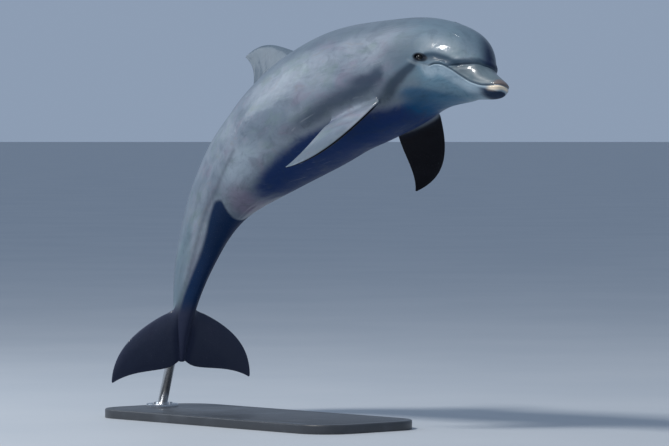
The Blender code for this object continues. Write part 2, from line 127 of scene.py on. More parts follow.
# side (left is 1), front of the root, way it points, feather (degrees)
FLIPPERS = (
    (1, (23.0, 5.6, -5.0), (0.45, 0.64, -0.63), 5.0),
    (-1, (22.4, 5.9, -4.6), (0.63, 0.44, -0.64), 3.0),
)

BASE_LENGTH, BASE_WIDTH, BASE_HEIGHT = 1.36, 0.52, 0.035          # metres
BASE_CORNER, BASE_BEVEL, BASE_TURN = 0.14, 0.006, -48.3           # the turn in degrees
ROD_RADIUS, ROD_FOOT, ROD_HEAD = 0.019, (-0.372, 0.450), (-0.262, 0.285, 0.56)
FLANGE_RADIUS, FLANGE_HEIGHT = 0.062, 0.010
FLANGE_GAP = 0.0003                  # between the board, the flange and the rod

FLESH = ("beak_upper", "lower_jaw", "head", "neck", "chest", "trunk", "loin",
         "tail_stock_front", "tail_stock_rear", "dorsal_fin", "flipper_left", "flipper_right",
         "fluke_left", "fluke_right")


# ---------------------------------------------------------------- curves and sections
def smooth_curve(points, places):
    """A smooth curve through the points, which never swings past them."""
    x, y = np.array(points, float).T
    step, slope = np.diff(x), np.diff(y) / np.diff(x)
    tangent = np.concatenate([slope[:1], np.zeros(len(x) - 2), slope[-1:]])
    for i in range(1, len(x) - 1):
        if slope[i - 1] * slope[i] > 0:
            w1 = 2 * step[i] + step[i - 1]
            w2 = step[i] + 2 * step[i - 1]
            tangent[i] = (w1 + w2) / (w1 / slope[i - 1] + w2 / slope[i])
    places = np.clip(places, x[0], x[-1])
    i = np.clip(np.searchsorted(x, places, side="right") - 1, 0, len(x) - 2)
    t = (places - x[i]) / step[i]
    rise = (1 + 2 * t) * (1 - t) ** 2 * y[i] + t * t * (3 - 2 * t) * y[i + 1]
    return rise + step[i] * (t * (1 - t) ** 2 * tangent[i] - t * t * (1 - t) * tangent[i + 1])


def smooth_step(value, start, end):
    """0 up to the start, 1 from the end on, and an even rise between them."""
    t = np.clip((value - start) / (end - start), 0.0, 1.0)
    return t * t * (3 - 2 * t)


def fade(value, start, end):
    """1 up to the start, 0 from the end on."""
    return 1 - smooth_step(value, start, end)


def hump(value, centre, width):
    """1 at the centre, fading to nothing over about twice the width."""
    return np.exp(-((value - centre) / width) ** 2)


def spot(points, middle, size):
    """A soft round or oval spot; the middle and the size are each given along and up."""
    across, down = (points[:, ::2] - middle).T / np.reshape(size, (2, 1))
    return hump(np.hypot(across, down), 0.0, 1.0)


def between(value, start, end, soft):
    """1 from start to end, with soft ends inside them."""
    return smooth_step(value, start, start + soft) * fade(value, end - soft, end)


def section_sizes(station):
    """Back, belly, half width, level of the widest point, and roundness."""
    spread = EASE * smooth_step(station, 1.0, 12.0) * fade(station, 94.0, 99.0)
    columns = []
    for k in (1, 2, 3, 4):
        points = [(row[0], row[k]) for row in PROFILE]
        columns.append(sum(share * smooth_curve(points, station + way * spread)
                           for way, share in ((-1, 0.25), (0, 0.5), (1, 0.25))))
    return *columns, smooth_curve(ROUNDNESS, station)


def section_point(station, angle):
    """(left, up) of the body; the angle runs from the back (0) by the left side to the belly."""
    back, belly, half_width, level, roundness = section_sizes(station)
    side, top = np.sin(angle), np.cos(angle)
    height = np.where(top > 0, back - level, level - belly)
    power = 2.0 / roundness
    return (half_width * np.sign(side) * np.abs(side) ** power,
            level + height * np.sign(top) * np.abs(top) ** power)


def body_share(points):
    """How far out each point lies, as a share of the straight body's section, and its level."""
    station, left, up = points.T
    back, belly, half_width, level, roundness = section_sizes(station)
    height = np.where(up > level, back - level, level - belly)
    share = (np.abs(left / half_width) ** roundness
             + np.abs((up - level) / height) ** roundness) ** (1 / roundness)
    return share, level


def outside_body(points):
    """How far each point lies outside the straight body (less than nothing inside)."""
    share, level = body_share(points)
    return np.hypot(points[:, 1], points[:, 2] - level) * (1 - 1 / np.maximum(share, TINY))


def onto_body(points):
    """The points, moved in or out to the skin of the straight body."""
    share, level = body_share(points)
    station, left, up = points.T
    return np.column_stack([station, left / share, level + (up - level) / share])


def mouth_angle(station):
    """The angle of section_point at which the left side meets the line of the mouth."""
    up = float(smooth_curve(MOUTH_LINE, station))
    back, belly, _, level, roundness = section_sizes(station)
    height = back - level if up > level else level - belly
    return math.acos(math.copysign((abs(up - level) / height) ** (roundness / 2), up - level))


# ---------------------------------------------------------------- the bent spine
def turn(axis, angle):
    """Rotation matrix about a unit axis."""
    x, y, z = axis
    cross = np.array([[0, -z, y], [z, 0, -x], [-y, x, 0]])
    return np.eye(3) + math.sin(angle) * cross + (1 - math.cos(angle)) * cross @ cross


def bend_spine():
    """Stations, places and frames of the spine.  A frame's columns: to the beak, left, up."""
    count = int(round((SPINE_ENDS[1] - SPINE_ENDS[0]) / SPINE_STEP)) + 1
    stations = np.linspace(*SPINE_ENDS, count)
    bent = np.zeros((count, 3))
    for start, end, down, aside, twist in BENDS:
        share = smooth_step(stations, start, end)
        bent += share[:, None] * np.radians([twist, -down, aside])
    chest = int(round((CHEST_STATION - SPINE_ENDS[0]) / SPINE_STEP))
    yaw, rise, roll = np.radians((-CHEST_YAW, -CHEST_RISE, -CHEST_ROLL))
    frames, places = [None] * count, [None] * count
    frames[chest] = turn((0, 0, 1), yaw) @ turn((0, 1, 0), rise) @ turn((1, 0, 0), roll)
    places[chest] = np.array(CHEST_PLACE)
    for way in (1, -1):
        here = chest
        while 0 <= here + way < count:
            change = bent[here + way] - bent[here]
            angle = float(np.linalg.norm(change))
            rotation = turn(change / angle, angle) if angle > 0 else np.eye(3)
            frames[here + way] = frames[here] @ rotation
            along = (frames[here][:, 0] + frames[here + way][:, 0]) / 2
            places[here + way] = places[here] - along * way * SPINE_STEP * PERCENT
            here += way
    return stations, np.array(places), np.array(frames)


SPINE = bend_spine()


def in_the_leap(points, anchor=None):
    """World places of points of the straight body, each carried by the spine at its anchor."""
    station, left, up = points.T
    anchor = station if anchor is None else anchor
    stations, places, frames = SPINE
    place = np.column_stack([np.interp(anchor, stations, places[:, k]) for k in range(3)])
    ahead, aside = (np.column_stack([np.interp(anchor, stations, frames[:, k, column])
                                     for k in range(3)]) for column in (0, 1))
    ahead /= np.linalg.norm(ahead, axis=1)[:, None]
    aside -= ahead * (aside * ahead).sum(axis=1)[:, None]
    aside /= np.linalg.norm(aside, axis=1)[:, None]
    above = np.cross(ahead, aside)
    offset = ahead * (anchor - station)[:, None] + aside * left[:, None] + above * up[:, None]
    return place + offset * PERCENT


# ---------------------------------------------------------------- small helpers for modelling
ON_MESH = (-1, 1, 1)                 # (station, left, up) on the mesh: x runs towards the beak


def deselect_all():
    bpy.ops.object.select_all(action="DESELECT")


def pick(piece):
    """Make the piece the only one selected, and the active one."""
    deselect_all()
    piece.select_set(True)
    bpy.context.view_layer.objects.active = piece


def named(name):
    """Give the piece that was just added its name."""
    piece = bpy.context.object
    piece.name = piece.data.name = name
    return piece


def fix_place():
    """The object goes to the origin, unturned and unscaled, and its mesh stays where it is."""
    bpy.ops.object.transform_apply(location=True, rotation=True, scale=True)


def edit_mode(on):
    bpy.ops.object.mode_set(mode="EDIT" if on else "OBJECT")


def select_where(piece, test, kind="FACE"):
    """In edit mode, select the faces, edges or corners that pass the test, and no others."""
    bpy.ops.mesh.select_mode(type=kind)
    bpy.ops.mesh.select_all(action="DESELECT")
    bm = bmesh.from_edit_mesh(piece.data)
    group = {"FACE": bm.faces, "EDGE": bm.edges, "VERT": bm.verts}[kind]
    for item in [item for item in group if test(item)]:
        item.select_set(True)
    bm.select_flush_mode()
    bmesh.update_edit_mesh(piece.data)


def apply_modifiers(piece):
    """Make the shape that the modifiers give the piece's own."""
    pick(piece)
    for modifier in list(piece.modifiers):
        bpy.ops.object.modifier_apply(modifier=modifier.name)


def add_smoothing(piece):
    """One level of subdivision surface."""
    smooth = piece.modifiers.new("smooth", "SUBSURF")
    smooth.levels = smooth.render_levels = 1


def turn_faces_out():
    """In edit mode, make every face point outwards."""
    bpy.ops.mesh.select_all(action="SELECT")
    bpy.ops.mesh.normals_make_consistent(inside=False)


def rub_smooth(piece, chosen, repeat):
    """Smooth the chosen corners, as a brush would."""
    numbers = set(np.flatnonzero(chosen).tolist())
    edit_mode(True)
    select_where(piece, lambda corner: corner.index in numbers, "VERT")
    bpy.ops.mesh.vertices_smooth(factor=0.5, repeat=repeat)
    edit_mode(False)


def corner_places(mesh):
    """The place of each corner of a mesh, one to a row."""
    places = np.empty(len(mesh.vertices) * 3)
    mesh.vertices.foreach_get("co", places)
    return places.reshape(-1, 3)


def move_corners(mesh, places):
    mesh.vertices.foreach_set("co", np.asarray(places, float).ravel())
    mesh.update()


def corner_slopes(mesh):
    """The way that the skin faces at each corner, as (station, left, up)."""
    slopes = np.empty(len(mesh.vertices) * 3)
    mesh.vertex_normals.foreach_get("vector", slopes)
    return slopes.reshape(-1, 3) * ON_MESH


def number_of(mesh, name):
    """The whole number that each corner carries under this name."""
    values = np.empty(len(mesh.vertices), np.int32)
    mesh.attributes[name].data.foreach_get("value", values)
    return values


def straight_places(mesh):
    """(station, left, up) of each corner of the straight skin."""
    return corner_places(mesh) * ON_MESH


def drawn_out(*move):
    """The move of an extrude operator."""
    return {"value": move}


# ---------------------------------------------------------------- the cage of the skin
HALF = 22                            # slots on each side; slot 0 is the back, 22 the belly
MOUTH_SLOT = 14
LIP_WIDTH = 0.35                     # from the line of the mouth to the slots beside it

FLIPPER_RINGS = np.linspace(23.2, 31.6, 7)
DORSAL_RINGS = np.linspace(41.6, 62.8, 9)
FLUKE_RINGS = np.linspace(90.7, 99.3, 7)
DORSAL_SLOTS, FLUKE_SLOTS, FLIPPER_SLOTS = (-2, 2), (8, 14), (15, 17)
RINGS = np.concatenate([
    (0.0, 0.07, 0.20, 0.40, 0.72, 1.12), np.arange(1.6, 17.3, 0.5), (17.9, 19.0, 20.3, 21.7),
    FLIPPER_RINGS, (33.9, 36.4, 39.0), DORSAL_RINGS,
    (65.5, 68.2, 70.9, 73.6, 76.3, 79.0, 81.7, 84.2, 86.6, 88.8), FLUKE_RINGS, (99.6,)])
# how the two ends are closed: percent beyond the end, and size of the ring, the last one a point
END_CAPS = ((0.004, 0.80), (0.010, 0.45), (0.013, 0.0))
# the steps in which a fin is drawn out, as shares of its length
FIN_SPANS = (0.02, 0.07, 0.14, 0.24, 0.36, 0.50, 0.64, 0.77, 0.88, 0.95, 0.985)
ROOT_SPANS = np.linspace(0.0, 0.6, 121)       # where a fin may come out of the body
ROUND_STEPS = 721                             # angles at which a ring is measured
LIP_SHARE = 0.12                              # the lips' slots take no more of a half ring


def ring_points(station):
    """(left, up) of a ring's slots from back to belly, even but for the mouth's on the head."""
    angle = np.linspace(0.0, math.pi, ROUND_STEPS)
    left, up = section_point(station, angle)
    length = np.concatenate([[0.0], np.cumsum(np.hypot(np.diff(left), np.diff(up)))])
    even = np.linspace(0.0, length[-1], HALF + 1)
    mouth = np.interp(mouth_angle(min(station, MOUTH_CORNER)), angle, length)
    lip = min(LIP_WIDTH, LIP_SHARE * length[-1])
    drawn = np.concatenate([np.linspace(0.0, mouth - lip, MOUTH_SLOT), [mouth],
                            np.linspace(mouth + lip, length[-1], HALF - MOUTH_SLOT)])
    free = smooth_step(station, MOUTH_CORNER, CHEST_START)
    place = drawn * (1 - free) + even * free
    return np.interp(place, length, left), np.interp(place, length, up)


def bezier(points, t):
    """Places on a cubic curve, for shares t of its run."""
    p0, p1, p2, p3 = (np.array(point, float) for point in points)
    t = np.asarray(t, float)[..., None]
    s = 1 - t
    return s ** 3 * p0 + 3 * s * s * t * p1 + 3 * s * t * t * p2 + t ** 3 * p3


def wing_thickness(chord):
    """Thickness of a streamlined section along its chord, blunt in front and thin behind."""
    return 2.969 * np.sqrt(chord) - 1.26 * chord - 3.516 * chord ** 2 \
        + 2.843 * chord ** 3 - 1.015 * chord ** 4


class Fin:
    """A fin of the straight body: its edges, its plane, and the block of skin it grows from.

    The plane starts at the root and holds the chord and the reach, and `through` stands square
    to it.  The block is given by its rings and by its first and last slot, above 0 on the left.
    """

    def __init__(self, edges, thickness, root, chord, reach, through, rings, slots):
        self.leading, self.trailing = edges
        self.thickness = thickness
        self.root, self.chord, self.reach, self.through = (
            np.array(way, float) for way in (root, chord, reach, through))
        self.first_ring = int(np.argmin(abs(RINGS - rings[0])))
        self.last_ring = self.first_ring + len(rings) - 1
        self.low_slot, self.high_slot = slots
        self.face = self.side_of_high_slot()

    def side_of_high_slot(self):
        """1 where the slots rise towards the side that `through` points to, or else -1."""
        station = RINGS[(self.first_ring + self.last_ring) // 2]
        left, up = ring_points(station)
        ends = [np.array([0.0, math.copysign(1, slot) * left[abs(slot)], up[abs(slot)]])
                for slot in (self.low_slot, self.high_slot)]
        return math.copysign(1.0, (ends[1] - ends[0]) @ self.through)

    def surface(self, way, span):
        """Places on the fin: way is the angle round its section, 0 at the leading edge."""
        chord = (1 - np.cos(way)) / 2
        front, rear = bezier(self.leading, span), bezier(self.trailing, span)
        length = np.linalg.norm(rear - front, axis=-1)
        flare = 1 + FIN_FLARE * np.exp(-np.asarray(span) / FLARE_REACH)
        half = np.maximum(self.thickness * length / 2 * flare * wing_thickness(chord),
                          FIN_MIN_EDGE) * np.clip(np.sin(way) * EDGE_ROUNDING, -1, 1)
        along, across = (front + (rear - front) * chord[..., None]).T
        return (self.root + along[:, None] * self.chord + across[:, None] * self.reach
                + (half * self.face)[:, None] * self.through)

    def leaves_body(self, way):
        """The span at which the fin comes out of the body, for each way round its section."""
        leaving = np.zeros(len(way))
        for k, angle in enumerate(way):
            places = self.surface(np.full(len(ROOT_SPANS), angle), ROOT_SPANS)
            inside = outside_body(places) < 0
            leaving[k] = ROOT_SPANS[inside].max() if inside.any() else 0.0
        return leaving

    def block_edge(self):
        """(ring, slot) round the edge of the block, from the middle of its front."""
        middle = (self.low_slot + self.high_slot) // 2
        first, last, low, high = self.first_ring, self.last_ring, self.low_slot, self.high_slot
        edge = [(first, slot) for slot in range(middle, high)]
        edge += [(ring, high) for ring in range(first, last)]
        edge += [(last, slot) for slot in range(high, low, -1)]
        edge += [(ring, low) for ring in range(last, first, -1)]
        return edge + [(first, slot) for slot in range(low, middle)]

    def cap_places(self, share):
        """Places of the block's corners when it is drawn out to this share of the fin."""
        edge = self.block_edge()
        way = 2 * math.pi * np.arange(len(edge)) / len(edge)
        start = self.leaves_body(way)
        places = dict(zip(edge, self.surface(way, start + (1 - start) * share)))
        for ring in range(self.first_ring + 1, self.last_ring):
            low, high = places[ring, self.low_slot], places[ring, self.high_slot]
            for slot in range(self.low_slot + 1, self.high_slot):
                part = (slot - self.low_slot) / (self.high_slot - self.low_slot)
                places[ring, slot] = low + (high - low) * part
        return places


def slots_on(side, slots):
    """The first and last slot of a block on this side (left is 1)."""
    return tuple(sorted(side * slot for slot in slots))


def all_fins():
    """The dorsal fin, the left and right fluke, and the left and right flipper."""
    middle, to_tail, to_left, to_back = (0, 0, 0), (1, 0, 0), (0, 1, 0), (0, 0, 1)
    fins = [Fin(DORSAL_EDGES, DORSAL_THICKNESS, middle, to_tail, to_back, to_left,
                DORSAL_RINGS, DORSAL_SLOTS)]
    for side in (1, -1):
        fins.append(Fin(FLUKE_EDGES, FLUKE_THICKNESS, middle, to_tail, (0, side, 0), to_back,
                        FLUKE_RINGS, slots_on(side, FLUKE_SLOTS)))
    for side, root, points, feather in FLIPPERS:
        mirrored = np.array([1.0, side, 1.0])
        root, reach = np.array(root) * mirrored, np.array(points) * mirrored
        reach /= np.linalg.norm(reach)
        chord = np.array([1.0, 0.0, 0.0]) - reach * reach[0]
        chord = turn(reach, side * math.radians(feather)) @ (chord / np.linalg.norm(chord))
        fins.append(Fin(FLIPPER_EDGES, FLIPPER_THICKNESS, root, chord, reach,
                        np.cross(reach, chord), FLIPPER_RINGS, slots_on(side, FLIPPER_SLOTS)))
    return fins


FINS = all_fins()
COUNTERS = ("ring", "slot", "span", "fin")


def draw_tube():
    """A ring at the tip of the beak, extruded along the body, with both ends closed."""
    deselect_all()
    bpy.ops.mesh.primitive_circle_add(vertices=2 * HALF, radius=1.0, fill_type="NOTHING",
                                      rotation=(0, math.pi / 2, 0))
    skin = named("dolphin_skin")
    fix_place()
    edit_mode(True)
    bpy.ops.mesh.select_mode(type="EDGE")
    bpy.ops.mesh.select_all(action="SELECT")
    for step in np.diff(RINGS):
        bpy.ops.mesh.extrude_edges_move(TRANSFORM_OT_translate=drawn_out(-step, 0, 0))
    for end, outward in ((0.0, 1), (-RINGS[-1], -1)):
        select_where(skin, lambda e: all(abs(v.co.x - end) < NEAR for v in e.verts), "EDGE")
        reached = 0.0
        for beyond, _ in END_CAPS:
            move = drawn_out(outward * (beyond - reached), 0, 0)
            bpy.ops.mesh.extrude_edges_move(TRANSFORM_OT_translate=move)
            reached = beyond
        bpy.ops.mesh.merge(type="CENTER")
    number_corners(skin)
    return skin


def number_corners(skin):
    """Write on each corner its ring and its slot; the fins add their number and step later."""
    bm = bmesh.from_edit_mesh(skin.data)
    ring, slot, _, _ = (bm.verts.layers.int.new(name) for name in COUNTERS)
    last = len(RINGS) - 1
    for corner in bm.verts:
        station = -corner.co.x
        if -NEAR <= station <= RINGS[-1] + NEAR:
            corner[ring] = int(np.argmin(abs(RINGS - station)))
        else:
            beyond = max(-station, station - RINGS[-1])
            step = 1 + int(np.argmin([abs(cap[0] - beyond) for cap in END_CAPS]))
            corner[ring] = -step if station < 0 else last + step
        corner[slot] = int(round(math.atan2(corner.co.y, corner.co.z) * HALF / math.pi))
        if corner[slot] == -HALF:
            corner[slot] = HALF
    bmesh.update_edit_mesh(skin.data)


def extrude_fins(skin):
    """Each fin is drawn out of its block of faces, one step at a time."""
    for number, fin in enumerate(FINS, start=1):
        bm = bmesh.from_edit_mesh(skin.data)
        ring, slot, _, mark = (bm.verts.layers.int[name] for name in COUNTERS)
        rings = range(fin.first_ring, fin.last_ring + 1)
        slots = range(fin.low_slot, fin.high_slot + 1)
        select_where(skin, lambda face: all(v[ring] in rings and v[slot] in slots and v[mark] == 0
                                            for v in face.verts))
        for step in range(1, len(FIN_SPANS) + 1):
            bpy.ops.mesh.extrude_region_move(TRANSFORM_OT_translate=drawn_out(0, 0, 0))
            bm = bmesh.from_edit_mesh(skin.data)
            span, mark = bm.verts.layers.int["span"], bm.verts.layers.int["fin"]
            for corner in bm.verts:
                if corner.select:
                    corner[span], corner[mark] = step, number
    bpy.ops.mesh.select_all(action="SELECT")
    edit_mode(False)


def cage_places(skin):
    """Where every corner of the cage belongs: (station, left, up)."""
    ring, slot, span, fin = (number_of(skin.data, name) for name in COUNTERS)
    sections = [ring_points(station) for station in RINGS]
    caps = {(number, step): FINS[number - 1].cap_places(FIN_SPANS[step - 1])
            for number in range(1, len(FINS) + 1) for step in range(1, len(FIN_SPANS) + 1)}
    places = np.empty((len(ring), 3))
    last = len(RINGS) - 1
    for k in range(len(ring)):
        if fin[k]:
            places[k] = caps[fin[k], span[k]][ring[k], slot[k]]
            continue
        at = int(np.clip(ring[k], 0, last))
        left, up = (values[abs(slot[k])] for values in sections[at])
        left, station = math.copysign(left, slot[k]), RINGS[at]
        step = max(-ring[k], ring[k] - last)
        if step > 0:
            beyond, size = END_CAPS[step - 1]
            station += beyond if ring[k] > last else -beyond
            level = float(section_sizes(RINGS[at])[3])
            left, up = left * size, level + (up - level) * size
        places[k] = station, left, up
    return places


def settle(skin, goal, rounds=3):
    """Move the cage until the smooth skin, and not only the cage, passes through the goal."""
    add_smoothing(skin)
    cage = goal * ON_MESH
    for _ in range(rounds):
        move_corners(skin.data, cage)
        shown = skin.evaluated_get(bpy.context.evaluated_depsgraph_get()).to_mesh()
        reached = corner_places(shown)[:len(cage)]
        cage = cage + (goal * ON_MESH - reached)
    move_corners(skin.data, cage)
    apply_modifiers(skin)
    edit_mode(True)
    turn_faces_out()
    edit_mode(False)


# ---------------------------------------------------------------- lines drawn on the head
# the crease between the beak and the melon, down the left side to the mouth: places
CREASE = ((4.42, 0.0, 0.58), (4.52, 0.87, 0.57), (5.05, 1.80, 0.46), (5.75, 2.58, 0.32),
          (6.95, 3.60, -0.12), (8.25, 4.35, -0.80), (8.85, 4.60, -1.14))
# the hollow under the brow, from the crease to the eye: (station, up)
BROW = ((7.4, -0.30), (9.0, -0.05), (10.8, 0.02), (12.3, -0.30))
EYE_LENGTH, EYE_RISE, EYE_DROP = 0.58, 0.33, 0.29     # half of the opening between the lids
SIDE_MEASURED = 0.5                  # of the body's side, to find the way that the eye faces
EYE_SLANT = 7.0                      # degrees: the front corner of the eye is lower
LID_EDGE = 0.04                      # how far the lids stand over the eyeball
LID_SNAP = 0.024                     # corners this near the edge of the lids are drawn to it
BLOWHOLE_STATION, BLOWHOLE_RADIUS, BLOWHOLE_ASIDE = 13.5, 0.95, 0.2
EAR = (15.7, -0.75)                  # (station, up)
LINE_POINTS, CREASE_POINTS, MOUTH_POINTS = 80, 160, 400
MOUTH_AHEAD = -2.0                   # the line of the mouth runs on to here, ahead of the beak


def along_line(points, count=LINE_POINTS):
    """Evenly spread points of a smooth curve through the given ones."""
    points = np.array(points, float)
    run = np.concatenate([[0.0], np.cumsum(np.linalg.norm(np.diff(points, axis=0), axis=1))])
    places = np.linspace(0.0, run[-1], count)
    return np.column_stack([smooth_curve(np.column_stack([run, points[:, k]]), places)
                            for k in range(points.shape[1])])


def from_line(places, line):
    """Distance of each place from a line of points, and the number of its nearest point."""
    nearest, distance = np.zeros(len(places), int), np.full(len(places), 1e9)
    for k, point in enumerate(line):
        away = np.linalg.norm(places - point, axis=1)
        closer = away < distance
        distance[closer], nearest[closer] = away[closer], k
    return distance, nearest


def above_mouth(points):
    """Signed distance from the line of the mouth, seen from the side (above it is more than 0)."""
    station, up = points[:, 0], points[:, 2]
    places = np.linspace(MOUTH_AHEAD, MOUTH_CORNER, MOUTH_POINTS)
    line = np.column_stack([places, smooth_curve(MOUTH_LINE, places)])
    distance, nearest = from_line(np.column_stack([station, up]), line)
    return np.copysign(distance, up - line[nearest, 1])


def on_the_left(points):
    """Each place, or its mirror place where it is on the right side."""
    return np.column_stack([points[:, 0], np.abs(points[:, 1]), points[:, 2]])


def from_crease(points):
    """Signed distance from the crease (above 0 on the melon), and how far down the crease."""
    line = onto_body(along_line(CREASE, CREASE_POINTS))
    distance, nearest = from_line(on_the_left(points), line)
    away = on_the_left(points) - line[nearest]
    share = nearest / (len(line) - 1)
    melon_side = away[:, 0] * (1 - 0.8 * share) + away[:, 2] * (0.5 + 0.5 * share)
    return np.copysign(distance, melon_side), share


def eye_frame():
    """Middle of the left eye's opening on the skin, and the ways along the lids, up and out."""
    left, _ = section_point(EYE_STATION, math.pi / 2)
    behind, _ = section_point(EYE_STATION + SIDE_MEASURED, math.pi / 2)
    along = np.array([SIDE_MEASURED, float(behind - left), 0.0])
    along /= np.linalg.norm(along)
    slant = math.radians(EYE_SLANT)
    out = np.array([-along[1], along[0], 0.0])
    up = np.array([0.0, 0.0, 1.0])
    along, up = (along * math.cos(slant) + up * math.sin(slant),
                 up * math.cos(slant) - along * math.sin(slant))
    ball = np.array([EYE_STATION, float(left) - EYE_RADIUS + EYE_STANDS_OUT, EYE_UP])
    return ball + out * (EYE_RADIUS - EYE_STANDS_OUT), along, up, out


def eye_sight(points):
    """Along, up and out from the nearer eye's middle; and the lids' size there, 1 at their edge."""
    middle, along, up, out = eye_frame()
    away = on_the_left(points) - middle
    p, q, h = away @ along, away @ up, away @ out
    rise = np.where(q > 0, EYE_RISE, EYE_DROP)
    lid = np.sqrt((p / EYE_LENGTH) ** 2 + (q / rise) ** 2)
    return p, q, h, lid


# ---------------------------------------------------------------- sculpting the straight skin
# the faces are cut finer this near to the eye, and near the eye twice; and near the other lines
FINE_EYE, FINER_EYE, EYE_DEPTH = 1.55, 0.95, 1.5
FINE_MOUTH, FINE_CREASE, FINE_BLOWHOLE = 0.36, 0.42, 1.6
# a fin stands out this far; its root is rubbed smooth this near to it, from under the skin
FIN_STANDS, BESIDE_FIN, UNDER_SKIN = 0.25, 1.3, -0.15
# the tip of the beak is rubbed smooth up to each of these stations, this many times
TIP_PASSES = ((1.50, 3), (1.00, 6), (0.50, 8))
NOTCH_STATION, NOTCH_REACH, NOTCH_PASSES = 99.7, 1.3, 30


def refine(skin):
    """Cut the faces finer at the eyes, the mouth, the crease and the blowhole."""
    for reach in (FINE_EYE, FINER_EYE):
        points = straight_places(skin.data)
        station, left, up = points.T
        p, q, h, _ = eye_sight(points)
        chosen = (np.hypot(p, q) < reach) & (np.abs(h) < EYE_DEPTH)
        if reach == FINE_EYE:
            mouth = (np.abs(above_mouth(points)) < FINE_MOUTH) & (station < MOUTH_CORNER + 0.4)
            fold = np.abs(from_crease(points)[0]) < FINE_CREASE
            hole = np.hypot(station - BLOWHOLE_STATION, left) < FINE_BLOWHOLE
            chosen |= mouth | fold | hole & (up > 5)
        numbers = set(np.flatnonzero(chosen).tolist())
        edit_mode(True)
        select_where(skin, lambda face: all(v.index in numbers for v in face.verts))
        bpy.ops.mesh.subdivide(number_cuts=1, smoothness=0.0, ngon=False)
        edit_mode(False)


def fair_roots(skin):
    """Smooth the corner between the body and each fin into a hollow."""
    points = straight_places(skin.data)
    outside = outside_body(points)
    station, _, up = points.T
    for near, reach, repeat in (((station > 38) & (station < 66) & (up > 5), 0.9, 4),
                                ((station > 20) & (station < 35) & (up < 0), 0.9, 5),
                                (station > 88.5, 1.5, 8)):
        from_fin, _ = from_line(points[near], points[near & (outside > FIN_STANDS)])
        beside = np.zeros(len(points), bool)
        beside[np.flatnonzero(near)[from_fin < BESIDE_FIN]] = True
        rub_smooth(skin, beside & (outside > UNDER_SKIN) & (outside < reach), repeat)


def ease_ends(skin):
    """Smooth the tip of the beak and the end of the tail stock, between the flukes."""
    station, left, up = straight_places(skin.data).T
    for end, repeat in TIP_PASSES:
        rub_smooth(skin, station < end, repeat)
    notch = (np.hypot(station - NOTCH_STATION, left) < NOTCH_REACH) & (np.abs(up) < 1.5)
    rub_smooth(skin, notch, NOTCH_PASSES)


def sculpt_mouth(points):
    """A groove with a thin lip above it and another below it."""
    away = above_mouth(points)
    on_mouth = fade(points[:, 0], MOUTH_CORNER - 0.5, MOUTH_CORNER + 0.35)
    at_tip = 0.5 + 0.5 * smooth_step(points[:, 0], 0.1, 0.9)
    groove = -0.21 * at_tip * hump(away, 0.0, 0.085)
    lips = 0.05 * hump(away, 0.26, 0.16) + 0.06 * hump(away, -0.24, 0.15)
    return on_mouth * (groove + lips)


def sculpt_crease(points):
    """A sharp fold between the beak and the melon, which swells over it."""
    away, share = from_crease(points)
    on_line = fade(share, 0.82, 1.0)
    groove = -0.20 * hump(away, -0.02, 0.13)
    melon = 0.13 * hump(away, 0.62, 0.50)
    beak = -0.07 * hump(away, -0.40, 0.30)
    return on_line * (groove + melon + beak)


def sculpt_brow(points):
    """A shallow hollow from the crease to the eye."""
    distance, _ = from_line(points[:, ::2], along_line(BROW))
    return -0.13 * hump(distance, 0.0, 0.42) * (np.abs(points[:, 1]) > 2)


def draw_to_lids(points):
    """Move the corners beside the edge of the lids onto it, so that the opening is clean."""
    p, q, h, lid = eye_sight(points)
    apart = np.hypot(p, q)
    lid = np.maximum(lid, TINY)
    near = (np.abs(apart * (1 - 1 / lid)) < LID_SNAP) & (np.abs(h) < 1.0)
    _, along, up, _ = eye_frame()
    slide = (1 / lid - 1)[:, None] * (p[:, None] * along + q[:, None] * up)
    slide[:, 1] *= np.where(points[:, 1] > 0, 1.0, -1.0)
    return points + slide * near[:, None]


def sculpt_eye(points):
    """Lids that hug the eyeball, with a socket behind them, folds, and a slight mound."""
    p, q, h, lid = eye_sight(points)
    apart = np.hypot(p, q)
    near = (apart < 3.5) & (np.abs(h) < 2.0)
    ball = EYE_STANDS_OUT - EYE_RADIUS + np.sqrt(np.maximum(EYE_RADIUS ** 2 - apart ** 2, 0.0))
    mound = 0.11 * hump(apart, 0.0, 1.25)
    rim = ball + LID_EDGE
    socket = smooth_step(-lid, -0.99, -0.80)
    blend = smooth_step(lid, 1.0, 1.50)
    lids = (1 - blend) * (rim - 0.15 * socket - h) + blend * mound
    lids += 0.040 * hump(lid, 1.22, 0.14)
    lids -= 0.030 * hump(lid, 1.75, 0.17) * smooth_step(q, -0.05, 0.25)
    lids -= 0.035 * hump(lid, 1.95, 0.16) * smooth_step(-q, -0.05, 0.25)
    return np.where(near, lids, 0.0)


def sculpt_blowhole(points):
    """A crescent on the top of the head, its two horns towards the beak."""
    x = points[:, 0] - BLOWHOLE_STATION
    y = points[:, 1] - BLOWHOLE_ASIDE
    radius = np.hypot(x * 1.25, y)
    spread = np.abs(np.arctan2(y, x))
    on_arc = fade(spread, 1.25, 1.65)
    on_top = points[:, 2] > 4.5
    slit = -0.19 * hump(radius, BLOWHOLE_RADIUS, 0.15)
    lips = 0.05 * hump(radius, BLOWHOLE_RADIUS + 0.30, 0.18) \
        + 0.04 * hump(radius, BLOWHOLE_RADIUS - 0.28, 0.16)
    return on_top * on_arc * (slit + lips)


def sculpt_belly(points):
    """The navel, the long slit and the vent, on the midline of the belly."""
    station, left, up = points.T
    under = (up < -2) * 1.0
    slit = -0.13 * hump(left, 0.0, 0.16) * between(station, 63.2, 67.6, 0.8)
    vent = -0.13 * hump(left, 0.0, 0.16) * between(station, 68.7, 70.2, 0.6)
    lips = 0.05 * hump(np.abs(left), 0.42, 0.25) * between(station, 62.8, 70.5, 1.2)
    navel = -0.06 * hump(left, 0.0, 0.22) * hump(station, 47.5, 0.5)
    return under * (slit + vent + lips + navel)


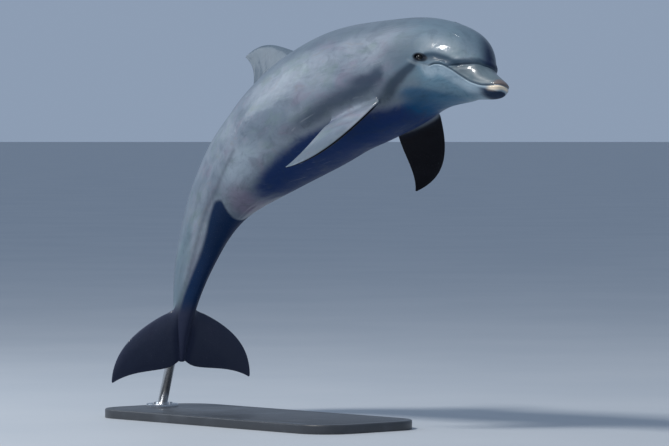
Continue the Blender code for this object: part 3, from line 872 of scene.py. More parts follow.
# how fast each wave runs along the station, left and up; where it starts, and its height
FLESH_WAVES = ((0.31, 0.42, 0.27, 0.4, 0.030), (0.17, -0.55, 0.61, 1.9, 0.030),
               (0.53, 0.23, -0.71, 3.1, 0.030), (0.09, 0.95, 0.38, 5.0, 0.015))


def sculpt_flesh(points):
    """The groove along the tail stock, the opening of the ear, and a slight unevenness."""
    station, left, up = points.T
    groove = -0.14 * hump(up, -0.6 + 0.01 * (station - 60), 0.9) * between(station, 58, 92, 12)
    waves = np.zeros(len(points))
    for a, b, c, shift, height in FLESH_WAVES:
        waves += np.sin(a * station + b * left + c * up + shift) * height
    ear = -0.07 * spot(points, EAR, (0.10, 0.10))
    return (groove + ear) * (np.abs(left) > 0.6) + waves * smooth_step(station, 6.0, 14.0)


def sculpt(skin):
    """Push the corners of the skin in and out, along its own slope."""
    points = straight_places(skin.data)
    body = fade(outside_body(points), 0.35, 1.2)
    depth = sculpt_mouth(points) + sculpt_crease(points) + sculpt_brow(points)
    depth += sculpt_blowhole(points) + sculpt_belly(points) + sculpt_flesh(points)
    points = points + corner_slopes(skin.data) * (depth * body)[:, None]
    points = draw_to_lids(points)
    _, _, _, out = eye_frame()
    outward = np.where(points[:, 1:2] > 0, out, out * (1, -1, 1))
    points = points + outward * sculpt_eye(points)[:, None]
    move_corners(skin.data, points * ON_MESH)


# ---------------------------------------------------------------- markings
# each line is (station, up) and is drawn on both sides
# the top of the painted shade on the belly
BELLY_SHADE_LINE = ((0, -4.0), (4, -4.2), (7, -4.7), (10, -5.4), (15, -6.2), (20, -6.4), (30, -6.7),
              (45, -7.2), (58, -7.6), (66, -6.6), (72, -5.2), (80, -4.0), (100, -1.0))
CAPE_LINE = ((0, 0.5), (8, 3.4), (16, 4.6), (30, 5.6), (45, 5.4), (60, 4.9), (75, 3.2),
             (90, 1.2), (100, 0.0))
# the top of the painted shade under the tail stock, a dark wedge which starts at this station under
# the belly
STOCK_SHADE_LINE = ((66, -6.2), (67.6, -5.0), (70.0, -3.7), (77.5, -3.3), (83.5, -2.5), (89.0, -1.5),
              (93.0, -0.6), (100.0, 0.6))
STOCK_SHADE_START = 67.3
# the middle of the painted shade on the flank above the flipper
SHADE_ABOVE_FLIPPER_LINE = ((21.6, -1.9), (25.6, -3.2), (30.6, -4.0), (36.5, -5.0), (41.0, -5.4), (47.0, -5.9))
# the painted shade along a fold on the flank
SIDE_FOLD_SHADE_LINE = ((57.0, -2.6), (60.0, -3.1), (66.4, -3.5), (73.8, -2.6), (81.4, -2.0), (85.2, -1.8),
             (90.0, -1.0))
STRIPE_START, STRIPE_LENGTH = 13.4, 8.6       # from the eye back towards the flipper
# how far the painted shade on the front of the melon reaches, on the left and on the right side
MELON_SHADE_REACH_LEFT, MELON_SHADE_REACH_RIGHT = 4.4, 3.0
# the markings and painted shade that are dull as well as dark, and how dull each is
DULL_MARKS = (("belly", 1.0), ("stock_underside_shade", 1.0), ("under_flipper_shade", 1.0), ("under_fluke_shade", 0.7),
              ("chin_shade", 1.0), ("throat_shade", 0.7), ("melon_front_shade", 0.8), ("jaw", 0.35), ("brow_shade", 0.7),
              ("stripe", 0.7), ("shade_above_flipper", 0.6), ("eye_patch", 0.8))


def fin_share(points, outside):
    """How much of each place belongs to each fin, as {name: share}."""
    station, _, up = points.T
    out = smooth_step(outside, 0.3, 1.6)
    return {"dorsal": out * ((up > 6) & (station > 38) & (station < 66)),
            "fluke": out * (station > 88),
            "flipper": out * ((station > 18) & (station < 45) & (up < 0))}


def drawn_line(points, line, width, from_middle=2.0):
    """A soft mark along a line of (station, up), where the skin is this far from the middle."""
    distance, _ = from_line(points[:, ::2], along_line(line))
    return hump(distance, 0.0, width) * (np.abs(points[:, 1]) > from_middle)


def head_marks(points, belly):
    """The markings of the head and its painted shade and highlights, as numbers from 0 to 1 on each
    corner.
    """
    station, left, up = points.T
    aside = np.abs(left)
    on_side = aside > 2
    p, q, _, lid = eye_sight(points)
    mouth = above_mouth(points)
    melon, _ = from_crease(points)
    along_stripe = np.clip((station - STRIPE_START) / STRIPE_LENGTH, 0, 1)
    stripe_up = -1.1 - 3.9 * along_stripe ** 0.85
    stripe = hump(up, stripe_up, 0.70 + 0.85 * along_stripe) * on_side \
        * smooth_step(station, 12.8, 14.2) * fade(station, 24.0, 29.0) \
        * (1 - 0.55 * smooth_step(station, 19.0, 24.0))
    foremost = 0.5 * fade(aside, 0.25, 1.0) * fade(station, 0.3, 0.9)
    # painted shade under the overhang of the melon
    shade_under_melon = hump(melon, 0.40, 0.55) * smooth_step(mouth, -0.05, 0.15) \
        * fade(station, 8.2, 9.8)
    around_eye = np.hypot((p + 0.25) * 0.66, q * 1.5)
    reach = np.where(left > 0, MELON_SHADE_REACH_LEFT, MELON_SHADE_REACH_RIGHT)
    return {
        "head_tone": fade(station, 12.0, 24.0),
        # painted shade under the jaw and the throat
        "throat_shade": smooth_step(-up, 3.9, 5.3) * smooth_step(station, 3.0, 6.0)
        * fade(station, 15.0, 23.0),
        "jaw": smooth_step(-mouth, 0.0, 0.3) * fade(station, 10.0, 16.0) * (1 - belly),
        "jaw_light": smooth_step(-mouth, 0.0, 0.2) * fade(-mouth, 0.7, 2.3)
        * fade(station, 12.0, 15.0),
        "upper_beak": smooth_step(mouth, 0.05, 0.30) * fade(melon, -0.35, 0.0)
        * fade(station, 7.6, 9.0),
        "beak_tip": fade(station, 0.3, 1.7) * smooth_step(mouth, 0.0, 0.15),
        # the pale lip: partly its own cream, partly a painted highlight, with painted shade dulling
        # it on the left
        "lip": hump(mouth, -0.34 + 0.16 * foremost, 0.42 - 0.20 * foremost)
        * smooth_step(-mouth, -0.02, 0.04) * fade(station, 0.7, 2.6)
        * (1 - 0.6 * smooth_step(left, 0.2, 1.1)),
        # painted shade under the tip of the chin
        "chin_shade": fade(station, 1.2, 4.6) * smooth_step(-up - 2.60 + 0.35 * foremost, 0.0, 0.38),
        # painted shade in the hollow under the brow
        "brow_shade": np.maximum(drawn_line(points, BROW, 0.62, 1.5), 0.9 * shade_under_melon),
        "stripe": stripe,
        "eye_patch": fade(around_eye, 0.60, 1.25),
        # a painted highlight on the fold under the eye
        "lid_fold_highlight": hump(around_eye, 1.55, 0.35) * smooth_step(-q, 0.2, 0.9),
        "lids": fade(lid, 1.15, 1.55),
        # painted shade on the front of the melon, reaching further on the left
        "melon_front_shade": fade(aside, -0.3 * reach, reach) * smooth_step(melon, 0.0, 0.3)
        * fade(station, 5.0, 11.5),
        "neck": spot(points, (17.5, 0.6), (4.2, 2.6)) * on_side,
    }


def marking_masks(points, slope):
    """Every marking, painted shade and painted highlight, as a number from 0 to 1 on each corner.
    """
    station, left, up = points.T
    on_side = np.abs(left) > 2
    outside = outside_body(points)
    fins = fin_share(points, outside)
    on_body = 1 - np.maximum(fins["flipper"], fins["fluke"])
    belly_shade_line, cape_line, stock_shade_line = (smooth_curve(line, station)
                                         for line in (BELLY_SHADE_LINE, CAPE_LINE, STOCK_SHADE_LINE))
    # the belly: painted shade, a dark navy over the belly's own paler tone
    belly_shade_edge = 0.4 + 0.9 * smooth_step(station, 8.0, 16.0)
    belly = smooth_step(-up, -belly_shade_line - belly_shade_edge, -belly_shade_line + 0.9) * on_body \
        * (1 - 0.75 * smooth_step(station, 53.0, 67.0))
    # painted shade under the tail stock, a dark wedge
    stock_shade_start = STOCK_SHADE_START + 1.6 * np.clip(-up - 4.4, 0, 2.4)
    facing_down = smooth_step(-slope[:, 2], -0.15, 0.35)
    # painted shade on the flank above the flipper
    shade_above_flipper = drawn_line(points, SHADE_ABOVE_FLIPPER_LINE, 1.75) * on_body \
        * (1 - 0.85 * smooth_step(station, 34.0, 49.0))
    shade_patch_above_flipper = spot(points, (24.0, -2.3), (4.2, 1.5)) * (np.abs(left) > 3)
    marks = {
        "belly": belly,
        "cape": smooth_step(up, cape_line - 2.2, cape_line + 1.8),
        # painted shade under the tail stock
        "stock_underside_shade": smooth_step(stock_shade_line - up, -0.55, 0.55) * on_body
        * smooth_step(station - stock_shade_start, -0.7, 0.9),
        "stock_side": hump(up, 0.2, 1.6) * smooth_step(station, 74.0, 80.0)
        * fade(station, 88.0, 95.0) * (np.abs(left) > 0.5),
        # painted shade on the faces of the flippers that turn down
        "under_flipper_shade": facing_down * fins["flipper"],
        # painted shade on the faces of the flukes and the tail's end that turn down, over the
        # flukes' own dark grey
        "under_fluke_shade": facing_down * np.maximum(fins["fluke"], smooth_step(station, 87.5, 93.0)),
        "root_shade": smooth_step(outside, -0.5, 0.0) * fade(outside, 0.4, 2.6)
        * fins["flipper"],
        "shade_above_flipper": np.maximum(0.9 * shade_above_flipper, shade_patch_above_flipper),
        "dorsal": fins["dorsal"],
        # painted shade in the fold along the flank
        "side_fold_shade": drawn_line(points, SIDE_FOLD_SHADE_LINE, 0.40, 0.5),
        "pink": spot(points, (64.5, -6.9), (5.0, 1.7)),
        "scuff": spot(points, (57.5, -4.9), (7.5, 2.0)) * on_side,
        "flipper_end": fins["flipper"] * smooth_step(outside, 2.5, 7.0),
    }
    marks.update(head_marks(points, belly))
    cheek = spot(points, (9.4, -0.55), (1.6, 0.7)) * on_side
    marks["underside"] = np.maximum.reduce([marks[name] * share for name, share in DULL_MARKS]
                                           + [0.3 * (1 - marks["head_tone"]), cheek])
    return marks


def write_marks(mesh, points, masks):
    """Write the straight place and the markings of each corner, for the finish to read."""
    along = mesh.attributes.new("straight", "FLOAT_VECTOR", "POINT")
    along.data.foreach_set("vector", points.astype(np.float32).ravel())
    for name, values in masks.items():
        mark = mesh.attributes.new(name, "FLOAT", "POINT")
        mark.data.foreach_set("value", np.clip(values, 0, 1).astype(np.float32))


def leap(skin, points):
    """Bend the skin with the spine; a fin moves as one piece with the spine at its anchor."""
    outside = outside_body(points)
    anchor = np.clip(points[:, 0], SPINE_ENDS[0], SPINE_ENDS[1])
    fins = fin_share(points, outside)
    free = smooth_step(outside, 0.0, 1.2)
    for name, held in (("dorsal", DORSAL_ANCHOR), ("fluke", FLUKE_ANCHOR),
                       ("flipper", FLIPPER_ANCHOR)):
        share = free * (fins[name] > 0)
        anchor = anchor * (1 - share) + held * share
    move_corners(skin.data, in_the_leap(points, anchor))


def make_skin():
    """Draw the skin straight, sculpt it, write its markings on it, and bend it into the leap."""
    skin = draw_tube()
    extrude_fins(skin)
    settle(skin, cage_places(skin))
    fair_roots(skin)
    refine(skin)
    add_smoothing(skin)
    apply_modifiers(skin)
    sculpt(skin)
    ease_ends(skin)
    points = straight_places(skin.data)
    masks = marking_masks(points, corner_slopes(skin.data))
    for name in COUNTERS:
        skin.data.attributes.remove(skin.data.attributes[name])
    write_marks(skin.data, points, masks)
    leap(skin, points)
    skin.data.shade_smooth()
    return skin


# ---------------------------------------------------------------- finishes
def linear(red, green, blue):
    """A colour given as it looks on a screen, from 0 to 255, as the shader's own numbers."""
    shares = [value / 255 for value in (red, green, blue)]
    return (*(v / 12.92 if v <= 0.04045 else ((v + 0.055) / 1.055) ** 2.4 for v in shares), 1.0)


MIX_UNDER, MIX_OVER, MIX_RESULT = 6, 7, 2     # the colour sockets of a mix node


class Finish:
    """A material that is put together from nodes."""

    def __init__(self, name, roughness, metallic=0.0, coat=0.0, coat_roughness=0.1):
        self.made = bpy.data.materials.new(name)
        self.made.use_nodes = True
        self.tree = self.made.node_tree
        self.shader = self.tree.nodes["Principled BSDF"]
        self.set_numbers(self.shader, Roughness=roughness, Metallic=metallic, Coat_Weight=coat,
                         Coat_Roughness=coat_roughness)

    def link(self, source, target):
        """Join an output to a socket, or set the socket's number or colour."""
        if isinstance(source, bpy.types.NodeSocket):
            self.tree.links.new(source, target)
        else:
            target.default_value = source

    def mark(self, name):
        """The node that reads a value written on the corners of the piece."""
        node = self.tree.nodes.new("ShaderNodeAttribute")
        node.attribute_name = name
        return node

    def share(self, name):
        """A marking, as a number from 0 to 1."""
        return self.mark(name).outputs["Fac"]

    def set_numbers(self, node, **numbers):
        """Set a node's own sockets; an underscore stands for the space in a socket's name."""
        for socket, number in numbers.items():
            node.inputs[socket.replace("_", " ")].default_value = number

    def places(self, stretch=(1.0, 1.0, 1.0), source=None):
        """Object coordinates, or another vector, with each axis scaled."""
        if source is None:
            source = self.tree.nodes.new("ShaderNodeTexCoord").outputs["Object"]
        node = self.tree.nodes.new("ShaderNodeMapping")
        self.set_numbers(node, Scale=stretch)
        self.link(source, node.inputs["Vector"])
        return node.outputs["Vector"]

    def noise(self, places, scale, detail=3.0, roughness=0.55, twist=0.0):
        node = self.tree.nodes.new("ShaderNodeTexNoise")
        self.link(places, node.inputs["Vector"])
        self.set_numbers(node, Scale=scale, Detail=detail, Roughness=roughness, Distortion=twist)
        return node.outputs["Fac"]

    def reshape(self, value, low, high, to_low=0.0, to_high=1.0):
        """Stretch the values from low to high, softly, onto a new range."""
        node = self.tree.nodes.new("ShaderNodeMapRange")
        node.interpolation_type = "SMOOTHSTEP"
        self.set_numbers(node, From_Min=low, From_Max=high, To_Min=to_low, To_Max=to_high)
        self.link(value, node.inputs["Value"])
        return node.outputs["Result"]

    def maths(self, operation, *values):
        node = self.tree.nodes.new("ShaderNodeMath")
        node.operation = operation
        for value, socket in zip(values, node.inputs):
            self.link(value, socket)
        return node.outputs[0]

    def times(self, first, second):
        return self.maths("MULTIPLY", first, second)

    def blend(self, share, under, over):
        """The colour under, covered by the colour over by that share."""
        node = self.tree.nodes.new("ShaderNodeMix")
        node.data_type = "RGBA"
        self.link(share, node.inputs["Factor"])
        self.link(under, node.inputs[MIX_UNDER])
        self.link(over, node.inputs[MIX_OVER])
        return node.outputs[MIX_RESULT]

    def bump(self, height, depth, under=None):
        """A relief of this depth in metres, on top of another one."""
        node = self.tree.nodes.new("ShaderNodeBump")
        self.set_numbers(node, Distance=depth)
        self.link(height, node.inputs["Height"])
        if under is not None:
            self.link(under, node.inputs["Normal"])
        return node.outputs["Normal"]

    def finish(self, colour=None, roughness=None, normal=None):
        """Join the colour, roughness and relief to the shader.  Gives the material."""
        for value, socket in ((colour, "Base Color"), (roughness, "Roughness"),
                              (normal, "Normal")):
            if value is not None:
                self.link(value, self.shader.inputs[socket])
        if normal is not None:
            self.link(normal, self.shader.inputs["Coat Normal"])
        return self.made


FLANK_PALE, FLANK_DEEP = (129, 139, 151), (102, 115, 129)
MAUVE_TINT, GREEN_TINT, TAN_TINT = (124, 118, 135), (102, 123, 120), (130, 126, 125)
# the dark blue here is painted shade, above the flippers and at their roots
STRIPE_AND_SHADE_DARK, SHADE_BLUE, SCAR, NECK_GREY = (38, 52, 68), (34, 50, 70), (152, 158, 164), (62, 78, 92)
JAW_MOTTLE = (44, 84, 106)
# marking, how strongly it covers, its colour; these lie under the mottling of the skin
SOFT_MARKS = (
    ("cape", 0.75, (84, 99, 112)), ("head_tone", 0.60, (84, 110, 124)),
    ("scuff", 0.65, (148, 162, 174)), ("stock_side", 0.55, (84, 108, 120)),
    # the dark band above the flipper and the dark navy of the belly are painted shade
    ("shade_above_flipper", 0.85, SHADE_BLUE), ("belly", 0.95, (4, 40, 90)), ("jaw", 0.85, (104, 138, 156)),
    # the dark teal of the throat is painted shade
    ("jaw_light", 0.80, (152, 169, 181)), ("throat_shade", 0.70, (10, 82, 120)),
    ("pink", 0.60, (128, 112, 132)), ("dorsal", 0.65, (66, 82, 96)),
    ("flipper_end", 0.60, NECK_GREY), ("neck", 0.55, NECK_GREY),
    # the dark band in the hollow under the brow is painted shade
    ("upper_beak", 0.60, (84, 98, 100)), ("brow_shade", 0.80, (34, 55, 73)),
    # the pale arc under the eye is a painted highlight on the fold of the lower lid
    ("stripe", 0.85, STRIPE_AND_SHADE_DARK), ("lid_fold_highlight", 0.50, (122, 134, 142)))
# marking, how strongly it covers, its colour, how ragged its edge is; these lie over it
CLEAR_MARKS = (
    # the dark front of the melon is painted shade, deeper on the left
    ("eye_patch", 0.95, (10, 18, 30), 0.3), ("melon_front_shade", 0.95, (6, 26, 60), 0.5),
    # the dark wedge under the tail stock and the near-black undersides of the flippers are painted
    # shade
    ("stock_underside_shade", 0.96, (4, 36, 72), 0.35), ("under_flipper_shade", 0.97, (8, 5, 12), 0.3),
    # the dark undersides of the flukes are painted shade over their own dark grey; so is the shade
    # at the flippers' roots
    ("under_fluke_shade", 0.95, (48, 53, 73), 0.5), ("root_shade", 0.30, SHADE_BLUE, 0.5),
    # the dark chin is painted shade
    ("chin_shade", 0.92, (4, 26, 56), 0.3), ("beak_tip", 0.85, (108, 92, 86), 0.4),
    # the pale lip is its own cream with a painted highlight, duller on the left side with painted
    # shade
    ("lip", 1.0, (238, 220, 194), 0.3), ("lids", 0.97, (6, 9, 14), 0.1))
SOFT_EDGE = 0.75                     # how ragged the edges of the soft marks are


def rake_marks(skin, places, cloudy):
    """A few sets of fine side-by-side lines, as other dolphins' teeth leave."""
    wander = skin.noise(skin.places((0.35, 1.0, 1.0), places), 0.5, 2.0)
    lines = skin.tree.nodes.new("ShaderNodeTexWave")
    lines.bands_direction = "DIAGONAL"
    skin.link(skin.places((0.10, 0.7, 1.0), places), lines.inputs["Vector"])
    skin.set_numbers(lines, Scale=0.9, Distortion=3.0, Detail=1.0, Detail_Scale=0.6)
    thin = skin.reshape(lines.outputs["Fac"], 0.90, 0.99)
    patch = skin.reshape(wander, 0.60, 0.68)
    return skin.times(skin.times(thin, patch), skin.reshape(cloudy, 0.42, 0.55))


def skin_finish():
    """Wet grey skin: a soft base under a thin clear coat, with every marking of the animal and the
    painted shade and highlights laid over it.
    """
    skin = Finish("wet_skin", 0.46, coat=0.3, coat_roughness=0.09)
    straight = skin.mark("straight").outputs["Vector"]
    grainy = skin.noise(straight, 7.0, 4.0, 0.65)
    uneven = skin.noise(straight, 0.55, 2.0, 0.5)

    def pattern(stretch, *kind):
        """A pattern drawn out along the body, where the first number is small."""
        return skin.noise(skin.places(stretch, straight), *kind)

    cloudy = pattern((0.5, 1.0, 1.0), 0.14, 4.0, 0.6, 0.4)
    patchy = pattern((0.6, 1.0, 1.0), 0.42, 6.0, 0.66, 0.9)
    tinted = pattern((0.5, 0.9, 1.1), 0.33, 5.0, 0.60, 0.5)
    streaky = pattern((0.12, 1.0, 1.0), 1.1, 5.0, 0.62, 0.6)
    ripples = pattern((3.2, 1.0, 1.0), 1.1, 1.0, 0.5)
    raked = rake_marks(skin, straight, cloudy)

    def marked(name, amount, ragged):
        """How much a marking covers; its soft border is broken up by the patches."""
        broken = skin.maths("MULTIPLY_ADD", patchy, ragged, -ragged / 2)
        edged = skin.reshape(skin.maths("ADD", skin.share(name), broken), 0.08, 0.92)
        return skin.times(edged, amount)

    layers = [
        (skin.reshape(cloudy, 0.36, 0.64), FLANK_PALE),
        (skin.reshape(tinted, 0.30, 0.50, 0.55, 0.0), MAUVE_TINT),
        (skin.reshape(tinted, 0.50, 0.68, 0.0, 0.45), GREEN_TINT),
        (skin.reshape(patchy, 0.54, 0.70, 0.0, 0.35), TAN_TINT),
        *((marked(name, amount, SOFT_EDGE), over) for name, amount, over in SOFT_MARKS),
        (skin.times(skin.share("jaw"), skin.reshape(patchy, 0.44, 0.66, 0.0, 0.42)), JAW_MOTTLE),
        (skin.reshape(patchy, 0.34, 0.54, 0.26, 0.0), STRIPE_AND_SHADE_DARK),
        # painted shade along the fold of the flank, in the stripe's dark
        (skin.times(skin.share("side_fold_shade"), 0.45), STRIPE_AND_SHADE_DARK),
        (skin.reshape(streaky, 0.50, 0.78, 0.0, 0.20), STRIPE_AND_SHADE_DARK),
        (skin.times(raked, 0.22), SCAR),
        *((marked(name, amount, ragged), over) for name, amount, over, ragged in CLEAR_MARKS),
        (skin.times(skin.reshape(grainy, 0.62, 0.74, 0.0, 0.35), skin.reshape(cloudy, 0.4, 0.6)),
         SCAR)]
    colour = linear(*FLANK_DEEP)
    for share, over in layers:
        colour = skin.blend(share, colour, linear(*over))
    dull = skin.share("underside")
    for socket, bright, dark in (("Coat Weight", 0.34, 0.02), ("Specular IOR Level", 0.42, 0.06)):
        skin.link(skin.reshape(dull, 0.0, 1.0, bright, dark), skin.shader.inputs[socket])
    relief = None
    for height, depth in ((grainy, 0.00010), (ripples, 0.0002), (uneven, 0.0020),
                          (raked, 0.0003)):
        relief = skin.bump(height, depth, relief)
    return skin.finish(colour, skin.reshape(patchy, 0.3, 0.7, 0.40, 0.56), relief)


def eye_finish():
    """A brown eye with a dark pupil, under a wet clear front."""
    eye = Finish("wet_eye", 0.35, coat=1.0, coat_roughness=0.02)
    eye.set_numbers(eye.shader, Coat_IOR=1.36, Specular_IOR_Level=0.1)
    from_pupil = eye.share("from_pupil")
    spokes = eye.noise(eye.places((900.0, 900.0, 900.0)), 1.0, 3.0, 0.6)
    iris = eye.blend(eye.reshape(spokes, 0.35, 0.65), linear(18, 12, 9), linear(6, 5, 5))
    colour = eye.blend(eye.reshape(from_pupil, 0.20, 0.26), linear(1, 1, 2), iris)
    colour = eye.blend(eye.reshape(from_pupil, 0.44, 0.54), colour, linear(9, 8, 10))
    return eye.finish(colour, eye.reshape(spokes, 0.3, 0.7, 0.20, 0.32))


def board_finish():
    """Satin charcoal paint with a fine grain and a little dust."""
    paint = Finish("charcoal_paint", 0.45, coat=0.15, coat_roughness=0.3)
    grain = paint.noise(paint.places(), 900.0, 3.0, 0.6)
    dust = paint.noise(paint.places(), 7.0, 5.0, 0.65)
    colour = paint.blend(paint.reshape(dust, 0.45, 0.75), linear(52, 55, 60), linear(70, 74, 80))
    colour = paint.blend(paint.reshape(grain, 0.55, 0.75, 0.0, 0.5), colour, linear(84, 88, 94))
    return paint.finish(colour, paint.reshape(dust, 0.3, 0.7, 0.38, 0.55),
                        paint.bump(grain, 0.00015))


def steel_finish(name, stretch):
    """Brushed steel; its fine lines run along the axis with the smallest number."""
    steel = Finish(name, 0.3, metallic=1.0)
    lines = steel.noise(steel.places(stretch), 1.0, 4.0, 0.7)
    smears = steel.noise(steel.places(), 18.0, 4.0, 0.6)
    colour = steel.blend(steel.reshape(lines, 0.3, 0.7), linear(172, 174, 177),
                         linear(190, 192, 195))
    roughness = steel.maths("ADD", steel.reshape(lines, 0.3, 0.7, 0.22, 0.30),
                            steel.reshape(smears, 0.4, 0.7, 0.0, 0.07))
    return steel.finish(colour, roughness, steel.bump(lines, 0.00008))


# ---------------------------------------------------------------- eyes
PUPIL_ANGLE = math.radians(62)       # from the eye's axis, where the mark from_pupil is 1
CORNEA_ANGLE, CORNEA_RISE = math.radians(34), 0.0006
CORNEA_TOP = 0.3                     # the share of that angle within which it is full height
EYE_FILLS = 0.0006                   # metres: the eyeball presses out against the lids


def make_eye(side, word, look):
    """An eyeball with a raised clear front, looking straight out of the head."""
    middle, _, _, out = eye_frame()
    straight = (middle - out * (EYE_RADIUS - EYE_STANDS_OUT)) * (1, side, 1)
    held = np.array([EYE_STATION])
    centre, tip = (in_the_leap(np.array([place]), held)[0]
                   for place in (straight, straight + out * (1, side, 1)))
    way = (tip - centre) / np.linalg.norm(tip - centre)
    deselect_all()
    tilt = Vector(way).to_track_quat("Z", "Y").to_euler()
    radius = EYE_RADIUS * PERCENT + EYE_FILLS
    bpy.ops.mesh.primitive_uv_sphere_add(segments=48, ring_count=32, radius=radius,
                                         location=centre, rotation=tilt)
    ball = named("eyeball_" + word)
    fix_place()
    places = corner_places(ball.data) - centre
    angle = np.arccos(np.clip(places @ way / radius, -1, 1))
    rise = CORNEA_RISE * smooth_step(-angle, -CORNEA_ANGLE, -CORNEA_ANGLE * CORNEA_TOP)
    move_corners(ball.data, centre + places * (1 + rise / radius)[:, None])
    mark = ball.data.attributes.new("from_pupil", "FLOAT", "POINT")
    mark.data.foreach_set("value", (angle / PUPIL_ANGLE).astype(np.float32))
    ball.data.shade_smooth()
    ball.data.materials.append(look)
    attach(ball, "root")
    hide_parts("eye_" + word)


# ---------------------------------------------------------------- the stand
SHARP_ANGLE = math.radians(35)       # edges that turn more than this stay sharp
FACES_UP, FACES_ASIDE = 0.99, 0.5    # the upward part of a face's normal: at least, at most
BOARD_FOOT_BEVEL = 0.0015            # metres, as all the sizes of the stand
LINE_INSET, LINE_WIDTH, LINE_DEPTH = 0.022, 0.003, 0.0015
FLANGE_TOP, FLANGE_BEVEL = BASE_HEIGHT + FLANGE_GAP + FLANGE_HEIGHT, FLANGE_HEIGHT / 4
BOSS_RADIUS, BOSS_SLOPE, BOSS_RISE = 1.45 * ROD_RADIUS, 0.003, 0.006
SCREWS, SCREW_CIRCLE, SCREW_RADIUS, SCREW_HEIGHT = 4, 0.044, 0.0065, 0.0045
SCREW_SINK, KEYHOLE_RIM, KEYHOLE_WALL, KEYHOLE_DEPTH = 0.0002, 0.25, 0.0002, 0.6
ROD_BEVEL = 0.0008
SLEEVE_RADIUS, SLEEVE_BELOW, SLEEVE_ABOVE, SLEEVE_BEVEL = 0.0265, 0.050, 0.060, 0.006


def stand_piece(piece, slot, look, *nodes):
    """Give a piece of the stand its finish, and hide the solids it stands for."""
    pick(piece)
    piece.data.shade_smooth()
    bpy.ops.object.shade_smooth_by_angle(angle=SHARP_ANGLE)
    piece.data.materials.append(look)
    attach(piece, "root")
    if nodes:
        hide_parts(*nodes)


def round_stock(name, vertices, radius, height, place, tilt=(0, 0, 0)):
    """A plain cylinder, to be shaped into a piece."""
    deselect_all()
    bpy.ops.mesh.primitive_cylinder_add(vertices=vertices, radius=radius, depth=height,
                                        location=place, rotation=tilt)
    return named(name)


def bevel(width, segments):
    bpy.ops.mesh.bevel(offset=width, segments=segments, affect="EDGES", profile=0.5)


def bevel_rim(piece, height, width, segments):
    """Round the edge that runs round the flat top or bottom at this height."""
    def on_rim(edge):
        return all(abs(corner.co.z - height) < NEAR for corner in edge.verts) \
            and any(abs(face.normal.z) < FACES_ASIDE for face in edge.link_faces)
    select_where(piece, on_rim, "EDGE")
    bevel(width, segments)


def inset_top(piece, *steps):
    """Inset the flat top again and again, each time by a width and a rise."""
    select_where(piece, lambda face: face.normal.z > FACES_UP)
    for width, rise in steps:
        bpy.ops.mesh.inset(thickness=width, depth=rise)


def make_board(look):
    """A flat board with round corners, a soft rim and a fine line let in round its top."""
    deselect_all()
    bpy.ops.mesh.primitive_cube_add(size=1.0, location=(0, 0, BASE_HEIGHT / 2),
                                    rotation=(0, 0, math.radians(BASE_TURN)),
                                    scale=(BASE_LENGTH, BASE_WIDTH, BASE_HEIGHT))
    board = named("display_board")
    fix_place()
    edit_mode(True)
    select_where(board, lambda edge: abs(edge.verts[0].co.z - edge.verts[1].co.z) > NEAR, "EDGE")
    bevel(BASE_CORNER, 20)
    bevel_rim(board, 0.0, BOARD_FOOT_BEVEL, 2)
    bevel_rim(board, BASE_HEIGHT, BASE_BEVEL, 5)
    inset_top(board, (LINE_INSET, 0.0), (LINE_WIDTH, -LINE_DEPTH), (LINE_WIDTH, LINE_DEPTH))
    edit_mode(False)
    stand_piece(board, "stand_board", look, "stand_base")


def make_flange(look):
    """The round foot plate, with a raised boss round the rod."""
    middle = BASE_HEIGHT + FLANGE_GAP + FLANGE_HEIGHT / 2
    plate = round_stock("foot_plate", 96, FLANGE_RADIUS, FLANGE_HEIGHT, (*ROD_FOOT, middle))
    fix_place()
    edit_mode(True)
    bevel_rim(plate, FLANGE_TOP, FLANGE_BEVEL, 3)
    inset_top(plate, (FLANGE_RADIUS - FLANGE_BEVEL - BOSS_RADIUS, 0.0), (BOSS_SLOPE, BOSS_RISE))
    edit_mode(False)
    stand_piece(plate, "stand_steel", look, "stand_flange")


def make_screws(look):
    """The round-headed screws of the foot plate, each with a round hole for its key."""
    for number in range(SCREWS):
        way = math.radians(45 + 360 / SCREWS * number)
        place = (ROD_FOOT[0] + SCREW_CIRCLE * math.cos(way),
                 ROD_FOOT[1] + SCREW_CIRCLE * math.sin(way),
                 FLANGE_TOP + SCREW_HEIGHT / 2 - SCREW_SINK)
        screw = round_stock(f"foot_screw_{number + 1}", 24, SCREW_RADIUS, SCREW_HEIGHT, place)
        fix_place()
        edit_mode(True)
        bevel_rim(screw, place[2] + SCREW_HEIGHT / 2, SCREW_HEIGHT / 3, 3)
        inset_top(screw, (SCREW_RADIUS * KEYHOLE_RIM, 0.0),
                  (KEYHOLE_WALL, -SCREW_HEIGHT * KEYHOLE_DEPTH))
        edit_mode(False)
        stand_piece(screw, "stand_steel", look)


def rod_line():
    """The foot and the head of the rod's middle line, and its way."""
    foot = np.array([*ROD_FOOT, FLANGE_TOP + FLANGE_GAP])
    head = np.array(ROD_HEAD)
    return foot, head, (head - foot) / np.linalg.norm(head - foot)


def make_rod(look):
    """The rod: a disc on the foot plate, drawn out on a slant into the tail stock."""
    foot, head, _ = rod_line()
    deselect_all()
    bpy.ops.mesh.primitive_circle_add(vertices=64, radius=ROD_RADIUS, fill_type="NGON",
                                      location=foot)
    rod = named("support_rod")
    fix_place()
    edit_mode(True)
    bpy.ops.mesh.select_all(action="SELECT")
    bpy.ops.mesh.extrude_region_move(TRANSFORM_OT_translate=drawn_out(*(head - foot)))
    turn_faces_out()
    select_where(rod, lambda edge: len({len(face.verts) > 4 for face in edge.link_faces}) == 2,
                 "EDGE")
    bevel(ROD_BEVEL, 2)
    edit_mode(False)
    stand_piece(rod, "stand_steel", look, "stand_rod")


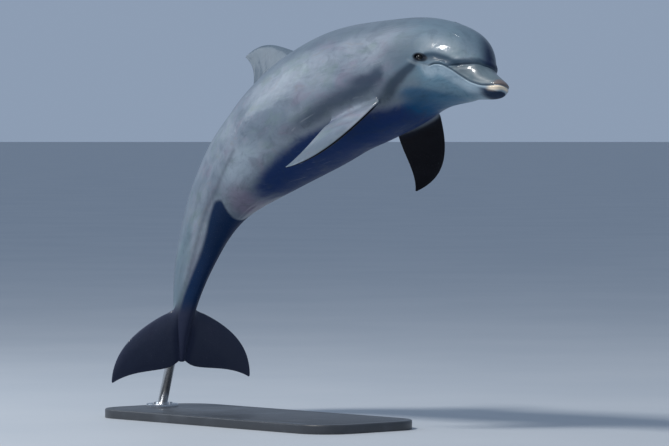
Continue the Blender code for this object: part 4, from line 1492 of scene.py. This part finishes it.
def make_sleeve(skin, look):
    """A short sleeve round the rod, where it goes into the tail stock."""
    foot, _, way = rod_line()
    _, entry, _, _ = skin.ray_cast(Vector(foot), Vector(way))
    length = SLEEVE_ABOVE + SLEEVE_BELOW
    middle = entry + Vector(way) * ((SLEEVE_ABOVE - SLEEVE_BELOW) / 2)
    sleeve = round_stock("rod_sleeve", 64, SLEEVE_RADIUS, length, middle,
                         Vector(way).to_track_quat("Z", "Y").to_euler())
    edit_mode(True)
    bevel_rim(sleeve, -length / 2, SLEEVE_BEVEL, 5)
    edit_mode(False)
    fix_place()
    stand_piece(sleeve, "stand_steel", look)


# ---------------------------------------------------------------- floor, light and camera
CAMERA_PLACE = (0.30, -15.72, 1.085)
CAMERA_DOWN = 1.188                  # degrees
CAMERA_LENS, SENSOR_WIDTH = 223.1, 36.0
# name, way from the model, how far away, size, power, colour
LAMPS = (("key_lamp", (-0.50, -0.40, 0.80), 12.0, 2.0, 1280.0, (1.0, 0.98, 0.95)),
         ("edge_lamp", (-0.85, 0.45, 0.35), 6.0, 2.5, 60.0, (0.85, 0.93, 1.0)))
FLOOR_RADIUS, SEEN_TO, AIR_STRENGTH = 900.0, 2000.0, 0.52


def make_studio():
    """A wide pale floor under a pale sky-coloured air."""
    deselect_all()
    bpy.ops.mesh.primitive_circle_add(vertices=64, radius=FLOOR_RADIUS, fill_type="NGON")
    floor = named("studio_floor")
    paint = Finish("pale_floor", 0.6)
    clouds = paint.noise(paint.places(), 0.7, 3.0)
    colour = paint.blend(paint.reshape(clouds, 0.3, 0.7), linear(176, 182, 188),
                         linear(182, 187, 192))
    floor.data.materials.append(paint.finish(colour))
    floor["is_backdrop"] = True
    world = bpy.data.worlds.new("studio_air")
    world.use_nodes = True
    air = world.node_tree.nodes["Background"]
    air.inputs["Color"].default_value = linear(190, 211, 240)
    air.inputs["Strength"].default_value = AIR_STRENGTH
    bpy.context.scene.world = world
    bpy.context.scene.view_settings.view_transform = "Standard"


def soft_lamp(name, towards, away, size, power, colour):
    """A square lamp, this far from the middle of the model and turned to it."""
    low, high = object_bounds()
    way = Vector(towards).normalized()
    lamp = bpy.data.lights.new(name, "AREA")
    lamp.size, lamp.energy, lamp.color = size, power, colour
    holder = bpy.data.objects.new(name, lamp)
    holder.location = (low + high) / 2 + way * away
    holder.rotation_euler = way.to_track_quat("Z", "Y").to_euler()
    bpy.context.scene.collection.objects.link(holder)


def make_camera():
    lens = bpy.data.cameras.new("camera")
    lens.lens, lens.sensor_width, lens.clip_end = CAMERA_LENS, SENSOR_WIDTH, SEEN_TO
    holder = bpy.data.objects.new("camera", lens)
    holder.location = CAMERA_PLACE
    holder.rotation_euler = (math.radians(90 - CAMERA_DOWN), 0, 0)
    bpy.context.scene.collection.objects.link(holder)
    bpy.context.scene.camera = holder


# ---------------------------------------------------------------- the whole model
def main():
    skin = make_skin()
    skin.data.materials.append(skin_finish())
    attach(skin, "root")
    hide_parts(*FLESH)
    eye_look = eye_finish()
    for side, word in ((1, "left"), (-1, "right")):
        make_eye(side, word, eye_look)
    steel = steel_finish("brushed_steel", (400.0, 400.0, 6.0))
    turned_steel = steel_finish("turned_steel", (700.0, 700.0, 700.0))
    make_board(board_finish())
    make_flange(turned_steel)
    make_screws(turned_steel)
    make_rod(steel)
    make_sleeve(skin, turned_steel)
    make_studio()
    for lamp in LAMPS:
        soft_lamp(*lamp)
    make_camera()


main()
